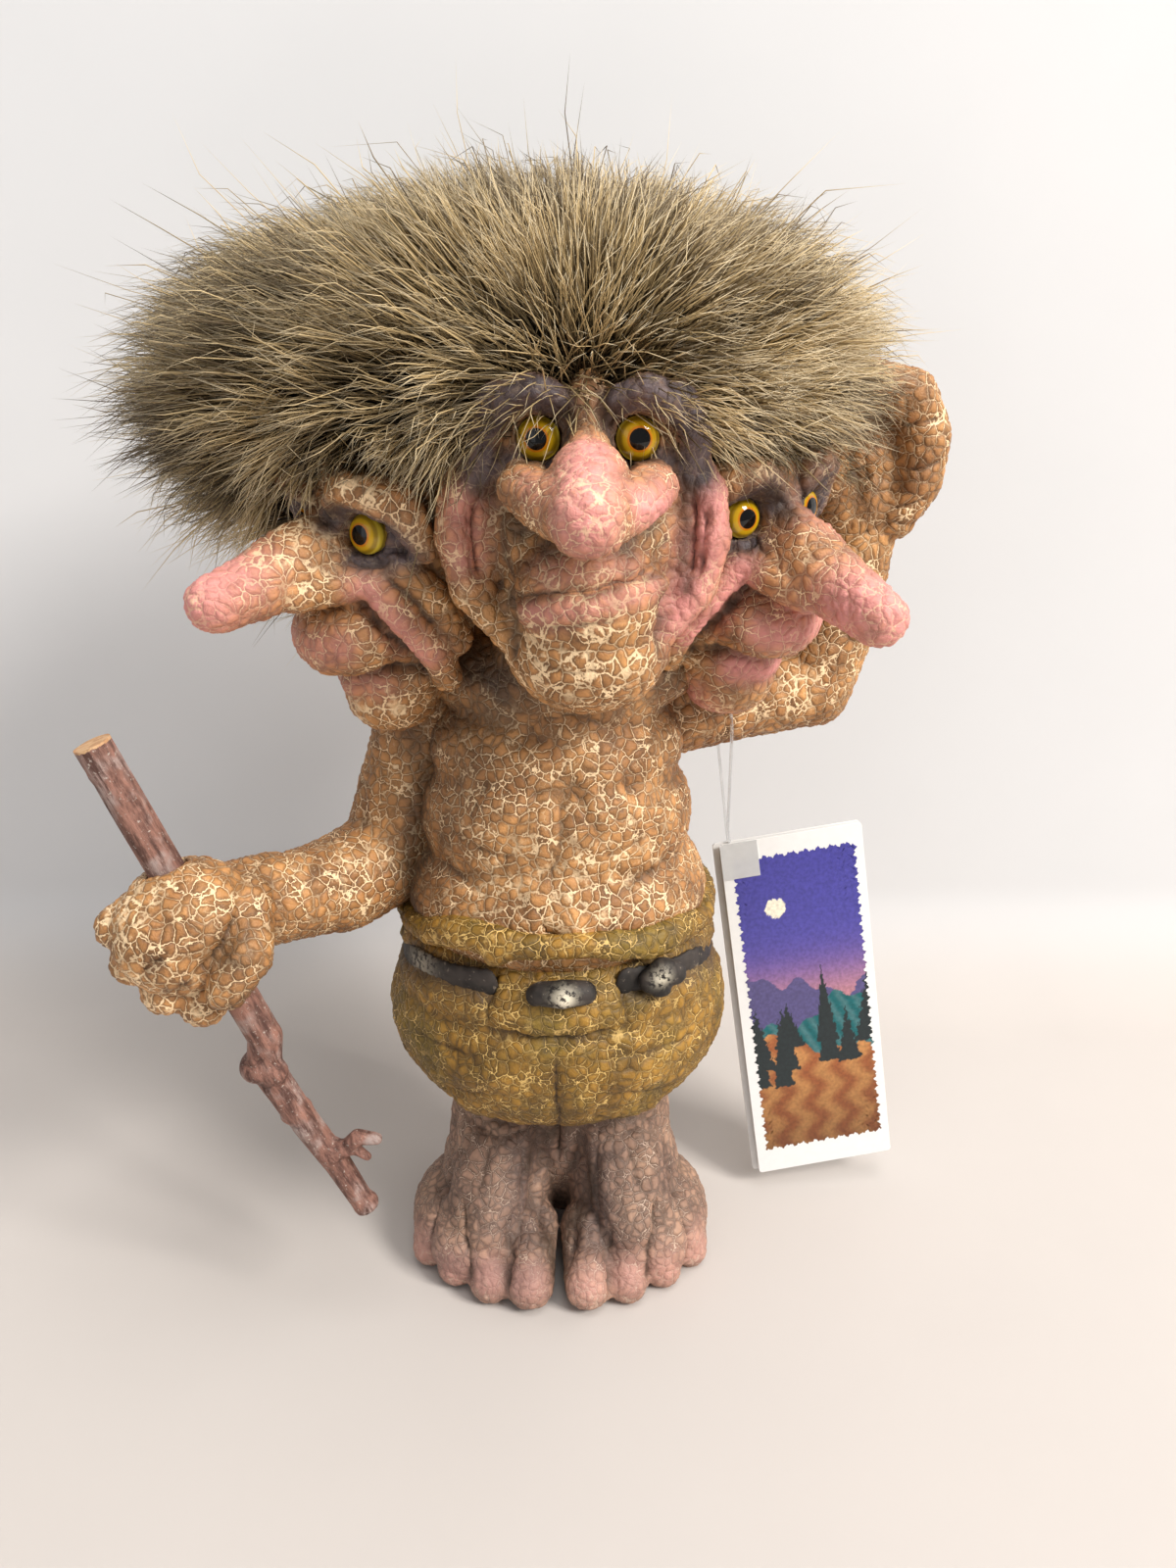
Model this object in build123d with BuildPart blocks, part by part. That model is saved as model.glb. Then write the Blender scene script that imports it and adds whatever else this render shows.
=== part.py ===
from build123d import *
from math import acos, asin, atan2, cos, radians, sin, sqrt
import os

os.makedirs("parts", exist_ok=True)

# Three-headed troll figure. Millimetres and degrees, standing on z = 0.
# It faces -Y, and +X is on the viewer's right.

# Clearances
SEAT_GAP = 0.15
TWIG_GAP = 0.08
EYE_GAP = 0.05
LOOP_GAP = 0.6
LEAF_GAP = 1.2

# Feet and legs
FOOT_WIDTH = 30.5
FOOT_SPACING = 32.0
HEEL_REACH = 22.0
BALL_REACH = 22.0
INSTEP_HEIGHT = 40.0
FOOT_BELLY = 0.25
HEEL_SHAPE = ((1.0, 0.6, 0.3), (0.7, 0.96, 0.75))
FOOT_SHAPE = ((0.3, 0.45, 0.42, 0.86), (0.65, 0.85, 0.48, 0.5), (0.9, 1.0, 0.46, 0.3), (1.1, 0.75, 0.34, 0.18))
ANKLE_FLARE = 1.07
TOE_RADIUS = 4.6
TOE_SHRINK = 0.45
TOE_STEP = 7.0
TOE_LENGTH = 6.0
TOE_SLOPE = 1.8
TOE_COUNT = 4
TOE_LIFT = (0.8, 1.5)
LEG_HALF_WIDTH = 10.6
LEG_HALF_DEPTH = 11.6
LEG_SPACING = 24.0
LEG_TOP = 52.0
ANKLE_Y = 3.0
WEB_WIDTH = 9.0
WEB_HEIGHT = 4.0
WEB_LENGTH = 30.0

# Trousers and belt
TROUSER_BOTTOM = 38.0
TROUSER_TOP = 89.5
TROUSER_Y = -1.0
HIP_HALF_WIDTH = 33.8
HIP_HALF_DEPTH = 30.0
WAIST_TUCK = 2.6
CUFF_STEPS = (5.0, 13.0)
CUFF_WIDTHS = (0.74, 0.83, 0.945)
CUFF_DEPTHS = (0.62, 0.8, 0.94)
BELT_HEIGHT = 78.0
BELT_WIDTH = 7.0
BELT_THICKNESS = 1.4
BELT_INSET = 0.7
GROOVE_DEPTH = 1.9
FLAP_WIDTH = 26.0
FLAP_X = 1.0
KNOB_RADIUS = 3.4
KNOB_STRETCH = 1.0
FLAP_KNOB_X = 1.5
BELT_KNOB_X = 18.5

# Torso
TORSO_SEAT = 66.0
BELLY_HEIGHT = 86.0
BELLY_HALF_WIDTH = 28.4
BELLY_HALF_DEPTH = 24.4
PLUG_TAPER = 1.6
PLUG_STEP = 10.0
CHEST_HEIGHT = 110.0
CHEST_HALF_WIDTH = 24.0
CHEST_HALF_DEPTH = 19.5
SHOULDER_HEIGHT = 124.0
SHOULDER_HALF_WIDTH = 23.0
SHOULDER_HALF_DEPTH = 16.5
NECK_HEIGHT = 150.0
NECK_RADIUS = 13.0
NECK_X = 5.0
NECK_Y = -2.0
NECK_FLARE = 1.15
SHOULDER_Y = 1.0
SHOULDER_FALL = 3.0
SHOULDER_DROP = 5.0

# Heads: where each face stands and turns, and the size of its skull, eyes and nose
MIDDLE_PLACE = (6.0, -6.0, 166.0)
LEFT_PLACE = (-24.0, 0.0, 151.0)
RIGHT_PLACE = (27.0, 5.0, 152.5)
LEFT_TURN = 42.0
RIGHT_TURN = 38.0
MIDDLE_SKULL_RADIUS = 20.0
MIDDLE_SKULL_STRETCH = 5.0
SIDE_SKULL_RADIUS = 17.0
SIDE_SKULL_STRETCH = 4.0
EYE_DIAMETER = 6.4
EYE_DEPTH = 2.4
EYE_BULGE = 1.8
LENS_RIM = 0.6
DISC_THICKNESS = 0.8
MIDDLE_EYE_SPREAD = 7.2
MIDDLE_EYE_HEIGHT = 7.6
SIDE_EYE_SPREAD = 7.2
SIDE_EYE_HEIGHT = 6.8
EYE_SPLAY = 10.0
SOCKET_REACH = 7.0
MIDDLE_NOSE_LENGTH = 28.0
MIDDLE_NOSE_RADIUS = 7.0
MIDDLE_NOSE_DROOP = -2.0
SIDE_NOSE_LENGTH = 33.0
SIDE_NOSE_RADIUS = 6.8
LEFT_NOSE_DROOP = 9.0
RIGHT_NOSE_DROOP = 17.0
NOSE_TAPER = 0.72

# Rolls of clay on each face, in its own frame: two ends, then the radius at each of them
MIDDLE_MUZZLE = ((-4, -18.5, -11), (4, -18.5, -11), 12.5)
MIDDLE_JAW = ((-3, -18, -25), (3, -18, -25), 9)
MIDDLE_LIP = ((-6, -28.5, -16.5), (6, -28.5, -16.5), 3.6)
MIDDLE_CHEEK = ((13, -12, 2), (11.5, -17, -16), 8, 7)
MIDDLE_BROW = ((4, -17.5, 15), (13, -13.5, 14), 3.8, 3.2)
MIDDLE_NOSTRIL = ((8, -24, -1), (7.4, -28.5, -1), 4.6)
MIDDLE_NOSE_ROOT = (0, -18, 3)
SIDE_MUZZLE = ((-3, -17, -8.5), (3, -17, -8.5), 8.8)
SIDE_JAW = ((-3, -12, -18.5), (3, -12, -18.5), 8.2)
SIDE_LIP = ((-5, -19.5, -15.5), (5, -19.5, -15.5), 3.8)
SIDE_CHEEK = ((10.5, -9.5, -1), (9.5, -11, -11), 7.2)
SIDE_BROW = ((3.5, -14, 13.5), (11, -11, 12.5), 3.5, 3)
SIDE_NOSTRIL = ((6, -18, 0), (5, -22, -1), 3.6)
SIDE_NOSE_ROOT = (0, -12, 3.5)

# Figure's right arm, on the viewer's left, bent around the twig
RIGHT_SHOULDER = (-25.0, 6.0, 121.0)
RIGHT_ELBOW = (-32.0, 0.0, 91.0)
RIGHT_WRIST = (-48.0, -20.0, 94.0)
UPPER_ARM_RADIUS = 8.6
ELBOW_RADIUS = 10.0
WRIST_RADIUS = 7.6
FIST_CENTRE = (-60.2, -28.0, 93.5)
FIST_RADIUS = 12.0
FIST_STRETCH = 3.0
FINGER_RADIUS = 3.8
FINGER_LENGTH = 10.0
FINGER_STEP = 6.2
FINGER_REACH = 9.5
FINGER_COUNT = 4
PALM_SPREAD = 1.2
THUMB = ((6, -7, -6), (6, -8, 7))

# Twig: straight where it slides in the fist, bowed and knotted below it
TWIG_RADIUS = 3.3
TWIG_LEAN = -20.3
TWIG_TOP = 36.0
TWIG_STRAIGHT = 20.0
TWIG_BENDS = ((27.5, -3.2, 3.2), (40.8, -2.3, 2.9), (67.8, 0.1, 2.4))
KNOT_RADIUS = 3.9
SHOOT_RADIUS = 1.7
SHOOT_LENGTH = 9.5
SHOOT_ALONG = 52.0
SHOOT_TAPER = 0.8

# Figure's left arm, on the viewer's right, raised behind the head
LEFT_SHOULDER = (21.0, 13.0, 117.0)
LEFT_ELBOW = (50.0, 22.0, 119.5)
LEFT_WRIST = (56.5, 24.0, 142.0)
PALM_TOP = (59.0, 24.5, 164.0)
PALM_RADIUS = 8.8
TIP_RADIUS = 4.4
TIP_LENGTH = 9.0
TIP_STEP = 5.2
TIP_FAN = 6.0
TIP_COUNT = 4
TIP_TAPER = 0.85

# Fur wig
WIG_CROWN = (-5.0, 8.0, 179.0)
WIG_LEFT = (-50.0, 8.0, 176.0)
WIG_RIGHT = (36.0, 8.0, 181.0)
WIG_RADIUS = 34.0
WIG_SIDE_RADIUS = 25.0
WIG_HEM = 147.0
MIDDLE_OPENING_RADIUS = 20.5
MIDDLE_OPENING_HEIGHT = 163.0
SIDE_OPENING_RADIUS = 19.0
SIDE_OPENING_HEIGHT = 149.0
OPENING_LENGTH = 90.0
FRINGE_HEIGHT = 158.0
FRINGE_Y = -8.0

# Hang tag: top left corner of its front, its size and how it hangs
TAG_CORNER = (32.6, 20.6, 83.0)
TAG_WIDTH = 32.0
TAG_LENGTH = 80.0
LEAF_THICKNESS = 0.5
TAG_YAW = 4.5
TAG_LEAN = 10.0
TAG_ROLL = 7.6
SPINE_RADIUS = 0.8
SPINE_GAP = 0.4
HOLE_RADIUS = 1.3
HOLE_INSET = 3.6
LOOP_RADIUS = 0.3
LOOP_NECK = 3.0
LOOP_TURN = 0.8
TAPE_SIZE = 8.0
TAPE_THICKNESS = 0.2


def capsule(length, start_radius, end_radius):
    """Round-ended taper along z, from a ball at the origin to a ball at the given length."""
    slope = asin((start_radius - end_radius) / length)
    flank = Vector(cos(slope), sin(slope))
    belly = Vector(cos((slope - radians(90)) / 2), sin((slope - radians(90)) / 2))
    crown = Vector(cos((slope + radians(90)) / 2), sin((slope + radians(90)) / 2))
    far = Vector(0, length)
    with BuildPart() as form:
        with BuildSketch(Plane.XZ):
            with BuildLine():
                ThreePointArc((0, -start_radius), belly * start_radius, flank * start_radius)
                Line(flank * start_radius, far + flank * end_radius)
                ThreePointArc(far + flank * end_radius, far + crown * end_radius, (0, length + end_radius))
                Line((0, length + end_radius), (0, -start_radius))
            make_face()
        revolve(axis=Axis.Z)
    return form.part


def press_on(start, end, start_radius, end_radius=None, mode=Mode.ADD):
    """Roll of clay from one point to another, pressed onto the casting being made or into it."""
    span = Vector(*end) - Vector(*start)
    roll = capsule(span.length, start_radius, end_radius or start_radius)
    with Locations(Plane(origin=start, z_dir=span)):
        add(roll, mode=mode)


def oval_loft(sections, grow=0.0):
    """Loft through ovals given as height, half width, half depth, centre x and centre y."""
    with BuildPart() as form:
        for height, half_width, half_depth, x, y in sections:
            with BuildSketch(Plane((x, y, height))):
                Ellipse(half_width + grow, half_depth + grow)
        loft()
    return form.part


def finish(piece, name):
    """Labels a piece and writes it."""
    piece.part.label = name
    export_step(piece.part, f"parts/{name}.step")


# Torso: a plug inside the trousers, belly, chest, sloping shoulders and a short neck
TORSO_SECTIONS = (
    (TORSO_SEAT, BELLY_HALF_WIDTH - PLUG_TAPER, BELLY_HALF_DEPTH - PLUG_TAPER, 0, TROUSER_Y),
    (BELLY_HEIGHT - PLUG_STEP, BELLY_HALF_WIDTH - PLUG_TAPER / 2, BELLY_HALF_DEPTH - PLUG_TAPER / 2, 0, TROUSER_Y),
    (BELLY_HEIGHT, BELLY_HALF_WIDTH, BELLY_HALF_DEPTH, 0, TROUSER_Y),
    (
        (BELLY_HEIGHT + CHEST_HEIGHT) / 2,
        (BELLY_HALF_WIDTH + CHEST_HALF_WIDTH) / 2,
        (BELLY_HALF_DEPTH + CHEST_HALF_DEPTH) / 2,
        0,
        TROUSER_Y / 2,
    ),
    (CHEST_HEIGHT, CHEST_HALF_WIDTH, CHEST_HALF_DEPTH, 0, 0),
    (SHOULDER_HEIGHT - SHOULDER_DROP, SHOULDER_HALF_WIDTH, SHOULDER_HALF_DEPTH + 1, 0, SHOULDER_Y),
    (
        SHOULDER_HEIGHT + SHOULDER_FALL,
        SHOULDER_HALF_WIDTH - SHOULDER_FALL,
        SHOULDER_HALF_DEPTH - SHOULDER_FALL / 5,
        0,
        SHOULDER_Y,
    ),
    ((SHOULDER_HEIGHT + NECK_HEIGHT) / 2, NECK_RADIUS * NECK_FLARE, NECK_RADIUS, NECK_X / 2, 0),
    (NECK_HEIGHT, NECK_RADIUS, NECK_RADIUS / NECK_FLARE, NECK_X, NECK_Y),
)

torso_room = oval_loft(TORSO_SECTIONS, SEAT_GAP)

with BuildPart() as torso:
    add(oval_loft(TORSO_SECTIONS))

# Feet: two bare feet with their toes, moulded together along the crease between them
# Each section is given by how far back and aside it stands, its half width and its height
FOOT_SPLAY = FOOT_SPACING - LEG_SPACING
FOOT_SECTIONS = (
    *(
        (HEEL_REACH * reach, LEG_SPACING / 2, LEG_HALF_WIDTH * half_width, INSTEP_HEIGHT * height)
        for reach, half_width, height in HEEL_SHAPE
    ),
    (ANKLE_Y, LEG_SPACING / 2, LEG_HALF_WIDTH * ANKLE_FLARE, INSTEP_HEIGHT),
    *(
        (
            -BALL_REACH * reach,
            (LEG_SPACING + FOOT_SPLAY * splay) / 2,
            FOOT_WIDTH * half_width,
            INSTEP_HEIGHT * height,
        )
        for reach, splay, half_width, height in FOOT_SHAPE
    ),
)

with BuildPart() as foot:
    for reach, aside, half_width, height in FOOT_SECTIONS:
        with BuildSketch(Plane.XZ.offset(-reach)):
            with Locations((aside, height * FOOT_BELLY)):
                Ellipse(half_width, height * (1 - FOOT_BELLY))
    loft()
    for toe in range(TOE_COUNT):
        radius = TOE_RADIUS - toe * TOE_SHRINK
        toe_x = FOOT_SPACING / 2 - FOOT_WIDTH / 2 + TOE_RADIUS + toe * TOE_STEP
        tip_y = -BALL_REACH - TOE_LENGTH + TOE_RADIUS + toe * TOE_SLOPE
        tip_lift, root_lift = TOE_LIFT
        toe_root = (toe_x, tip_y + TOE_LENGTH * root_lift, radius * root_lift)
        press_on((toe_x, tip_y, radius * tip_lift), toe_root, radius)
    split(bisect_by=Plane.XY, keep=Keep.TOP)
    with BuildSketch(Plane.XY.offset(INSTEP_HEIGHT / 2)):
        with Locations((LEG_SPACING / 2, ANKLE_Y)):
            Ellipse(LEG_HALF_WIDTH, LEG_HALF_DEPTH)
    extrude(amount=LEG_TOP - INSTEP_HEIGHT / 2)

with BuildPart() as feet:
    add(foot.part)
    mirror(about=Plane.YZ)
    Box(WEB_WIDTH, WEB_LENGTH, WEB_HEIGHT, align=(Align.CENTER, Align.CENTER, Align.MIN))

# Trousers: a round bag with sockets for the torso and the legs, a belt groove and a plain flap in front
TROUSER_SECTIONS = (
    *(
        (TROUSER_BOTTOM + step, HIP_HALF_WIDTH * width, HIP_HALF_DEPTH * depth, 0, TROUSER_Y)
        for step, width, depth in zip((0, *CUFF_STEPS), CUFF_WIDTHS, CUFF_DEPTHS)
    ),
    ((TROUSER_BOTTOM + TROUSER_TOP) / 2, HIP_HALF_WIDTH, HIP_HALF_DEPTH, 0, TROUSER_Y),
    (BELT_HEIGHT, HIP_HALF_WIDTH - BELT_INSET, HIP_HALF_DEPTH - BELT_INSET, 0, TROUSER_Y),
    (TROUSER_TOP, HIP_HALF_WIDTH - WAIST_TUCK, HIP_HALF_DEPTH - WAIST_TUCK, 0, TROUSER_Y),
)


def belt_ring(inner_cut, outer_cut, height, flap_width):
    """Oval ring at the waist, open across the front flap, its two edges given as depths under the cloth."""
    half_width = HIP_HALF_WIDTH - BELT_INSET
    half_depth = HIP_HALF_DEPTH - BELT_INSET
    with BuildPart() as form:
        with BuildSketch(Plane((0, TROUSER_Y, BELT_HEIGHT - height / 2))):
            Ellipse(half_width - outer_cut, half_depth - outer_cut)
            Ellipse(half_width - inner_cut, half_depth - inner_cut, mode=Mode.SUBTRACT)
            with Locations((FLAP_X, -half_depth)):
                Rectangle(flap_width, half_depth, mode=Mode.SUBTRACT)
        extrude(amount=height)
    return form.part


groove = belt_ring(GROOVE_DEPTH, -GROOVE_DEPTH, BELT_WIDTH, FLAP_WIDTH)

with BuildPart() as trousers:
    add(oval_loft(TROUSER_SECTIONS))
    add(torso_room, mode=Mode.SUBTRACT)
    add(groove, mode=Mode.SUBTRACT)
    with BuildSketch():
        for side in (-1, 1):
            with Locations((side * LEG_SPACING / 2, ANKLE_Y)):
                Ellipse(LEG_HALF_WIDTH + SEAT_GAP, LEG_HALF_DEPTH + SEAT_GAP)
    extrude(amount=LEG_TOP, mode=Mode.SUBTRACT)
    add(feet.part, mode=Mode.SUBTRACT)

with BuildPart() as belt:
    add(
        belt_ring(
            GROOVE_DEPTH,
            GROOVE_DEPTH - BELT_THICKNESS,
            BELT_WIDTH - 2 * SEAT_GAP,
            FLAP_WIDTH + 2 * SEAT_GAP,
        )
    )

with BuildPart() as belt_core:
    belt_cut = BELT_INSET + GROOVE_DEPTH - BELT_THICKNESS
    with BuildSketch(Plane((0, TROUSER_Y, BELT_HEIGHT - BELT_WIDTH / 2))):
        Ellipse(HIP_HALF_WIDTH - belt_cut, HIP_HALF_DEPTH - belt_cut)
    extrude(amount=BELT_WIDTH)

with BuildPart() as belt_knobs:
    for knob_x in (FLAP_KNOB_X, BELT_KNOB_X):
        round_off = sqrt(1 - (knob_x / HIP_HALF_WIDTH) ** 2)
        knob_y = TROUSER_Y - (HIP_HALF_DEPTH - BELT_INSET) * round_off
        press_on(
            (knob_x - KNOB_STRETCH, knob_y, BELT_HEIGHT),
            (knob_x + KNOB_STRETCH, knob_y, BELT_HEIGHT),
            KNOB_RADIUS,
        )
    add(trousers.part, mode=Mode.SUBTRACT)
    add(belt_core.part, mode=Mode.SUBTRACT)


# Eyes: a socket, a flat disc with the pupil at its floor and a clear dome over it
def eye_seats(skull_radius, skull_stretch, spread, height):
    """Planes on a skull where its two eyes sit, in the face's own frame."""
    rise = max(height - skull_stretch, 0)
    reach = sqrt(skull_radius**2 - rise**2 - spread**2)
    splay = radians(EYE_SPLAY)
    return [
        Plane(
            origin=(side * spread, -reach, height),
            x_dir=(1, side * sin(splay), 0),
            z_dir=(side * sin(splay), -cos(splay), sin(splay) / 2),
        )
        for side in (-1, 1)
    ]


with BuildPart() as eye_disc:
    with BuildSketch(Plane.XY.offset(-EYE_DEPTH)):
        Circle(EYE_DIAMETER / 2)
    extrude(amount=DISC_THICKNESS)

with BuildPart() as eye_lens:
    with BuildSketch(Plane.XZ):
        with BuildLine():
            Polyline(
                (0, EYE_BULGE),
                (0, DISC_THICKNESS - EYE_DEPTH),
                (EYE_DIAMETER / 2, DISC_THICKNESS - EYE_DEPTH),
                (EYE_DIAMETER / 2, -LENS_RIM),
            )
            TangentArc((0, EYE_BULGE), (EYE_DIAMETER / 2, -LENS_RIM), tangent=(1, 0))
        make_face()
    revolve(axis=Axis.Z)


# Heads: skull, brows, cheeks, muzzle, lips and jaw pressed together around a long nose
def face_plane(place, turn):
    """Frame of a face: its own -Y looks out of the face."""
    return Plane(origin=place, x_dir=(cos(radians(turn)), sin(radians(turn)), 0), z_dir=(0, 0, 1))


def head(face, skull, seats, nose_form, middle_rolls, side_rolls):
    """Casting of one head. Each roll is given by its two ends and its radius at each of them."""
    skull_radius, skull_stretch = skull
    nose_root, nose_length, nose_radius, nose_droop = nose_form
    tip_radius = nose_radius * NOSE_TAPER
    reach = nose_length - tip_radius
    droop = radians(nose_droop)
    nose_tip = Vector(*nose_root) + Vector(0, -reach * cos(droop), -reach * sin(droop))
    with BuildPart(face) as form:
        press_on((0, 0, -skull_stretch), (0, 0, skull_stretch), skull_radius)
        for roll in middle_rolls:
            press_on(*roll)
        for side in (-1, 1):
            for (start_x, *start), (end_x, *end), *radii in side_rolls:
                press_on((side * start_x, *start), (side * end_x, *end), *radii)
        press_on(nose_root, nose_tip, nose_radius, tip_radius)
        for seat in seats:
            with Locations(seat.offset(-EYE_DEPTH)):
                Cylinder(
                    EYE_DIAMETER / 2 + EYE_GAP,
                    EYE_DEPTH + SOCKET_REACH,
                    align=(Align.CENTER, Align.CENTER, Align.MIN),
                    mode=Mode.SUBTRACT,
                )
    return form.part


middle_face = face_plane(MIDDLE_PLACE, 0)
left_face = face_plane(LEFT_PLACE, -LEFT_TURN)
right_face = face_plane(RIGHT_PLACE, RIGHT_TURN)
MIDDLE_SKULL = (MIDDLE_SKULL_RADIUS, MIDDLE_SKULL_STRETCH)
SIDE_SKULL = (SIDE_SKULL_RADIUS, SIDE_SKULL_STRETCH)
middle_seats = eye_seats(*MIDDLE_SKULL, MIDDLE_EYE_SPREAD, MIDDLE_EYE_HEIGHT)
side_seats = eye_seats(*SIDE_SKULL, SIDE_EYE_SPREAD, SIDE_EYE_HEIGHT)

middle_form = head(
    middle_face,
    MIDDLE_SKULL,
    middle_seats,
    (MIDDLE_NOSE_ROOT, MIDDLE_NOSE_LENGTH, MIDDLE_NOSE_RADIUS, MIDDLE_NOSE_DROOP),
    middle_rolls=(MIDDLE_MUZZLE, MIDDLE_JAW, MIDDLE_LIP),
    side_rolls=(MIDDLE_CHEEK, MIDDLE_BROW, MIDDLE_NOSTRIL),
)
SIDE_ROLLS = {
    "middle_rolls": (SIDE_MUZZLE, SIDE_JAW, SIDE_LIP),
    "side_rolls": (SIDE_CHEEK, SIDE_BROW, SIDE_NOSTRIL),
}
left_nose = (SIDE_NOSE_ROOT, SIDE_NOSE_LENGTH, SIDE_NOSE_RADIUS, LEFT_NOSE_DROOP)
right_nose = (SIDE_NOSE_ROOT, SIDE_NOSE_LENGTH, SIDE_NOSE_RADIUS, RIGHT_NOSE_DROOP)
left_form = head(left_face, SIDE_SKULL, side_seats, left_nose, **SIDE_ROLLS)
right_form = head(right_face, SIDE_SKULL, side_seats, right_nose, **SIDE_ROLLS)

with BuildPart() as middle_head:
    add(middle_form)
    add(torso.part, mode=Mode.SUBTRACT)

with BuildPart() as left_head:
    add(left_form)
    add(torso.part, mode=Mode.SUBTRACT)
    add(middle_form, mode=Mode.SUBTRACT)

with BuildPart() as right_head:
    add(right_form)
    add(torso.part, mode=Mode.SUBTRACT)
    add(middle_form, mode=Mode.SUBTRACT)

# Twig: its own frame stands in the middle of the fist, with z along the stick towards its top
twig_frame = Plane(
    origin=FIST_CENTRE,
    x_dir=(cos(radians(TWIG_LEAN)), 0, -sin(radians(TWIG_LEAN))),
    z_dir=(sin(radians(TWIG_LEAN)), 0, cos(radians(TWIG_LEAN))),
)
twig_stations = [(0, 0, -TWIG_STRAIGHT)] + [(aside, 0, -along) for along, aside, radius in TWIG_BENDS]
twig_radii = [TWIG_RADIUS] + [radius for along, aside, radius in TWIG_BENDS]
twig_places = [twig_frame.from_local_coords(station) for station in twig_stations]
twig_ways = [-twig_frame.z_dir]
for before, after in zip(twig_places, twig_places[2:] + twig_places[-1:]):
    twig_ways.append(after - before)

with BuildPart() as twig:
    with BuildSketch(twig_frame.offset(TWIG_TOP)):
        Circle(TWIG_RADIUS)
    extrude(amount=-TWIG_TOP - TWIG_STRAIGHT)
    for place, way, radius in zip(twig_places, twig_ways, twig_radii):
        with BuildSketch(Plane(origin=place, x_dir=(0, 1, 0), z_dir=way)):
            Circle(radius)
    loft()
    with Locations(twig_places[1]):
        Sphere(KNOT_RADIUS)
    shoot_root = twig_frame.from_local_coords((TWIG_BENDS[1][1], 0, -SHOOT_ALONG))
    shoot_tip = twig_frame.from_local_coords((SHOOT_LENGTH, 0, -SHOOT_ALONG - SHOOT_TAPER))
    press_on(shoot_root, shoot_tip, SHOOT_RADIUS, SHOOT_RADIUS * SHOOT_TAPER)

# Figure's right arm with the fist around the twig
with BuildPart(twig_frame) as fist:
    press_on((0, 0, -FIST_STRETCH), (0, 0, FIST_STRETCH), FIST_RADIUS)
    for finger in range(FINGER_COUNT):
        along = (finger - (FINGER_COUNT - 1) / 2) * FINGER_STEP
        curl = (-FINGER_REACH, FINGER_LENGTH / 2, along)
        press_on(curl, (-FINGER_REACH, -FINGER_LENGTH / 2, along), FINGER_RADIUS)
    press_on(*THUMB, FINGER_RADIUS * PALM_SPREAD, FINGER_RADIUS)

with BuildPart(twig_frame) as grip_bore:
    Cylinder(TWIG_RADIUS + TWIG_GAP, 4 * FIST_RADIUS)

with BuildPart() as right_arm:
    press_on(RIGHT_SHOULDER, RIGHT_ELBOW, UPPER_ARM_RADIUS, ELBOW_RADIUS)
    press_on(RIGHT_ELBOW, RIGHT_WRIST, ELBOW_RADIUS, WRIST_RADIUS)
    press_on(RIGHT_WRIST, FIST_CENTRE, WRIST_RADIUS, WRIST_RADIUS * PALM_SPREAD)
    add(fist.part)
    add(grip_bore.part, mode=Mode.SUBTRACT)
    add(torso.part, mode=Mode.SUBTRACT)
    for neighbour in (trousers, belt, belt_knobs):
        add(neighbour.part, mode=Mode.SUBTRACT)
    add(left_form, mode=Mode.SUBTRACT)

# Figure's left arm with the open hand beside the right head
with BuildPart() as left_arm:
    press_on(LEFT_SHOULDER, LEFT_ELBOW, UPPER_ARM_RADIUS)
    press_on(LEFT_ELBOW, LEFT_WRIST, UPPER_ARM_RADIUS, WRIST_RADIUS)
    press_on(LEFT_WRIST, PALM_TOP, WRIST_RADIUS, PALM_RADIUS)
    for tip in range(TIP_COUNT):
        aside = tip - (TIP_COUNT - 1) / 2
        tip_x, tip_z = PALM_TOP[0] + aside * TIP_STEP, PALM_TOP[2]
        fan = radians(aside * TIP_FAN)
        tip_end = (tip_x + TIP_LENGTH * sin(fan), PALM_TOP[1], tip_z + TIP_LENGTH * cos(fan))
        press_on((tip_x, PALM_TOP[1], tip_z), tip_end, TIP_RADIUS, TIP_RADIUS * TIP_TAPER)
    add(torso.part, mode=Mode.SUBTRACT)
    add(right_form, mode=Mode.SUBTRACT)

# Fur wig: one oval cap, hollowed for the skulls and the raised hand and open at the three faces
with BuildPart() as fur_wig:
    press_on(WIG_CROWN, WIG_LEFT, WIG_RADIUS, WIG_SIDE_RADIUS)
    press_on(WIG_CROWN, WIG_RIGHT, WIG_RADIUS, WIG_SIDE_RADIUS)
    split(bisect_by=Plane.XY.offset(WIG_HEM), keep=Keep.TOP)
    for face, opening, height in (
        (middle_face, MIDDLE_OPENING_RADIUS, MIDDLE_OPENING_HEIGHT),
        (left_face, SIDE_OPENING_RADIUS, SIDE_OPENING_HEIGHT),
        (right_face, SIDE_OPENING_RADIUS, SIDE_OPENING_HEIGHT),
    ):
        mouth = Plane(origin=(face.origin.X, face.origin.Y, height), x_dir=face.x_dir, z_dir=-face.y_dir)
        with Locations(mouth):
            Cylinder(
                opening,
                OPENING_LENGTH,
                align=(Align.CENTER, Align.CENTER, Align.MIN),
                mode=Mode.SUBTRACT,
            )
    with Locations((0, FRINGE_Y, FRINGE_HEIGHT)):
        Box(
            2 * OPENING_LENGTH,
            OPENING_LENGTH,
            OPENING_LENGTH,
            align=(Align.CENTER, Align.MAX, Align.MAX),
            mode=Mode.SUBTRACT,
        )
    for casting in (middle_head, left_head, right_head, torso):
        add(casting.part, mode=Mode.SUBTRACT)
    hand_crown = Vector(*PALM_TOP) + Vector(0, 0, TIP_LENGTH)
    press_on(LEFT_WRIST, hand_crown, PALM_RADIUS + 2 * TIP_STEP, mode=Mode.SUBTRACT)

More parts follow.
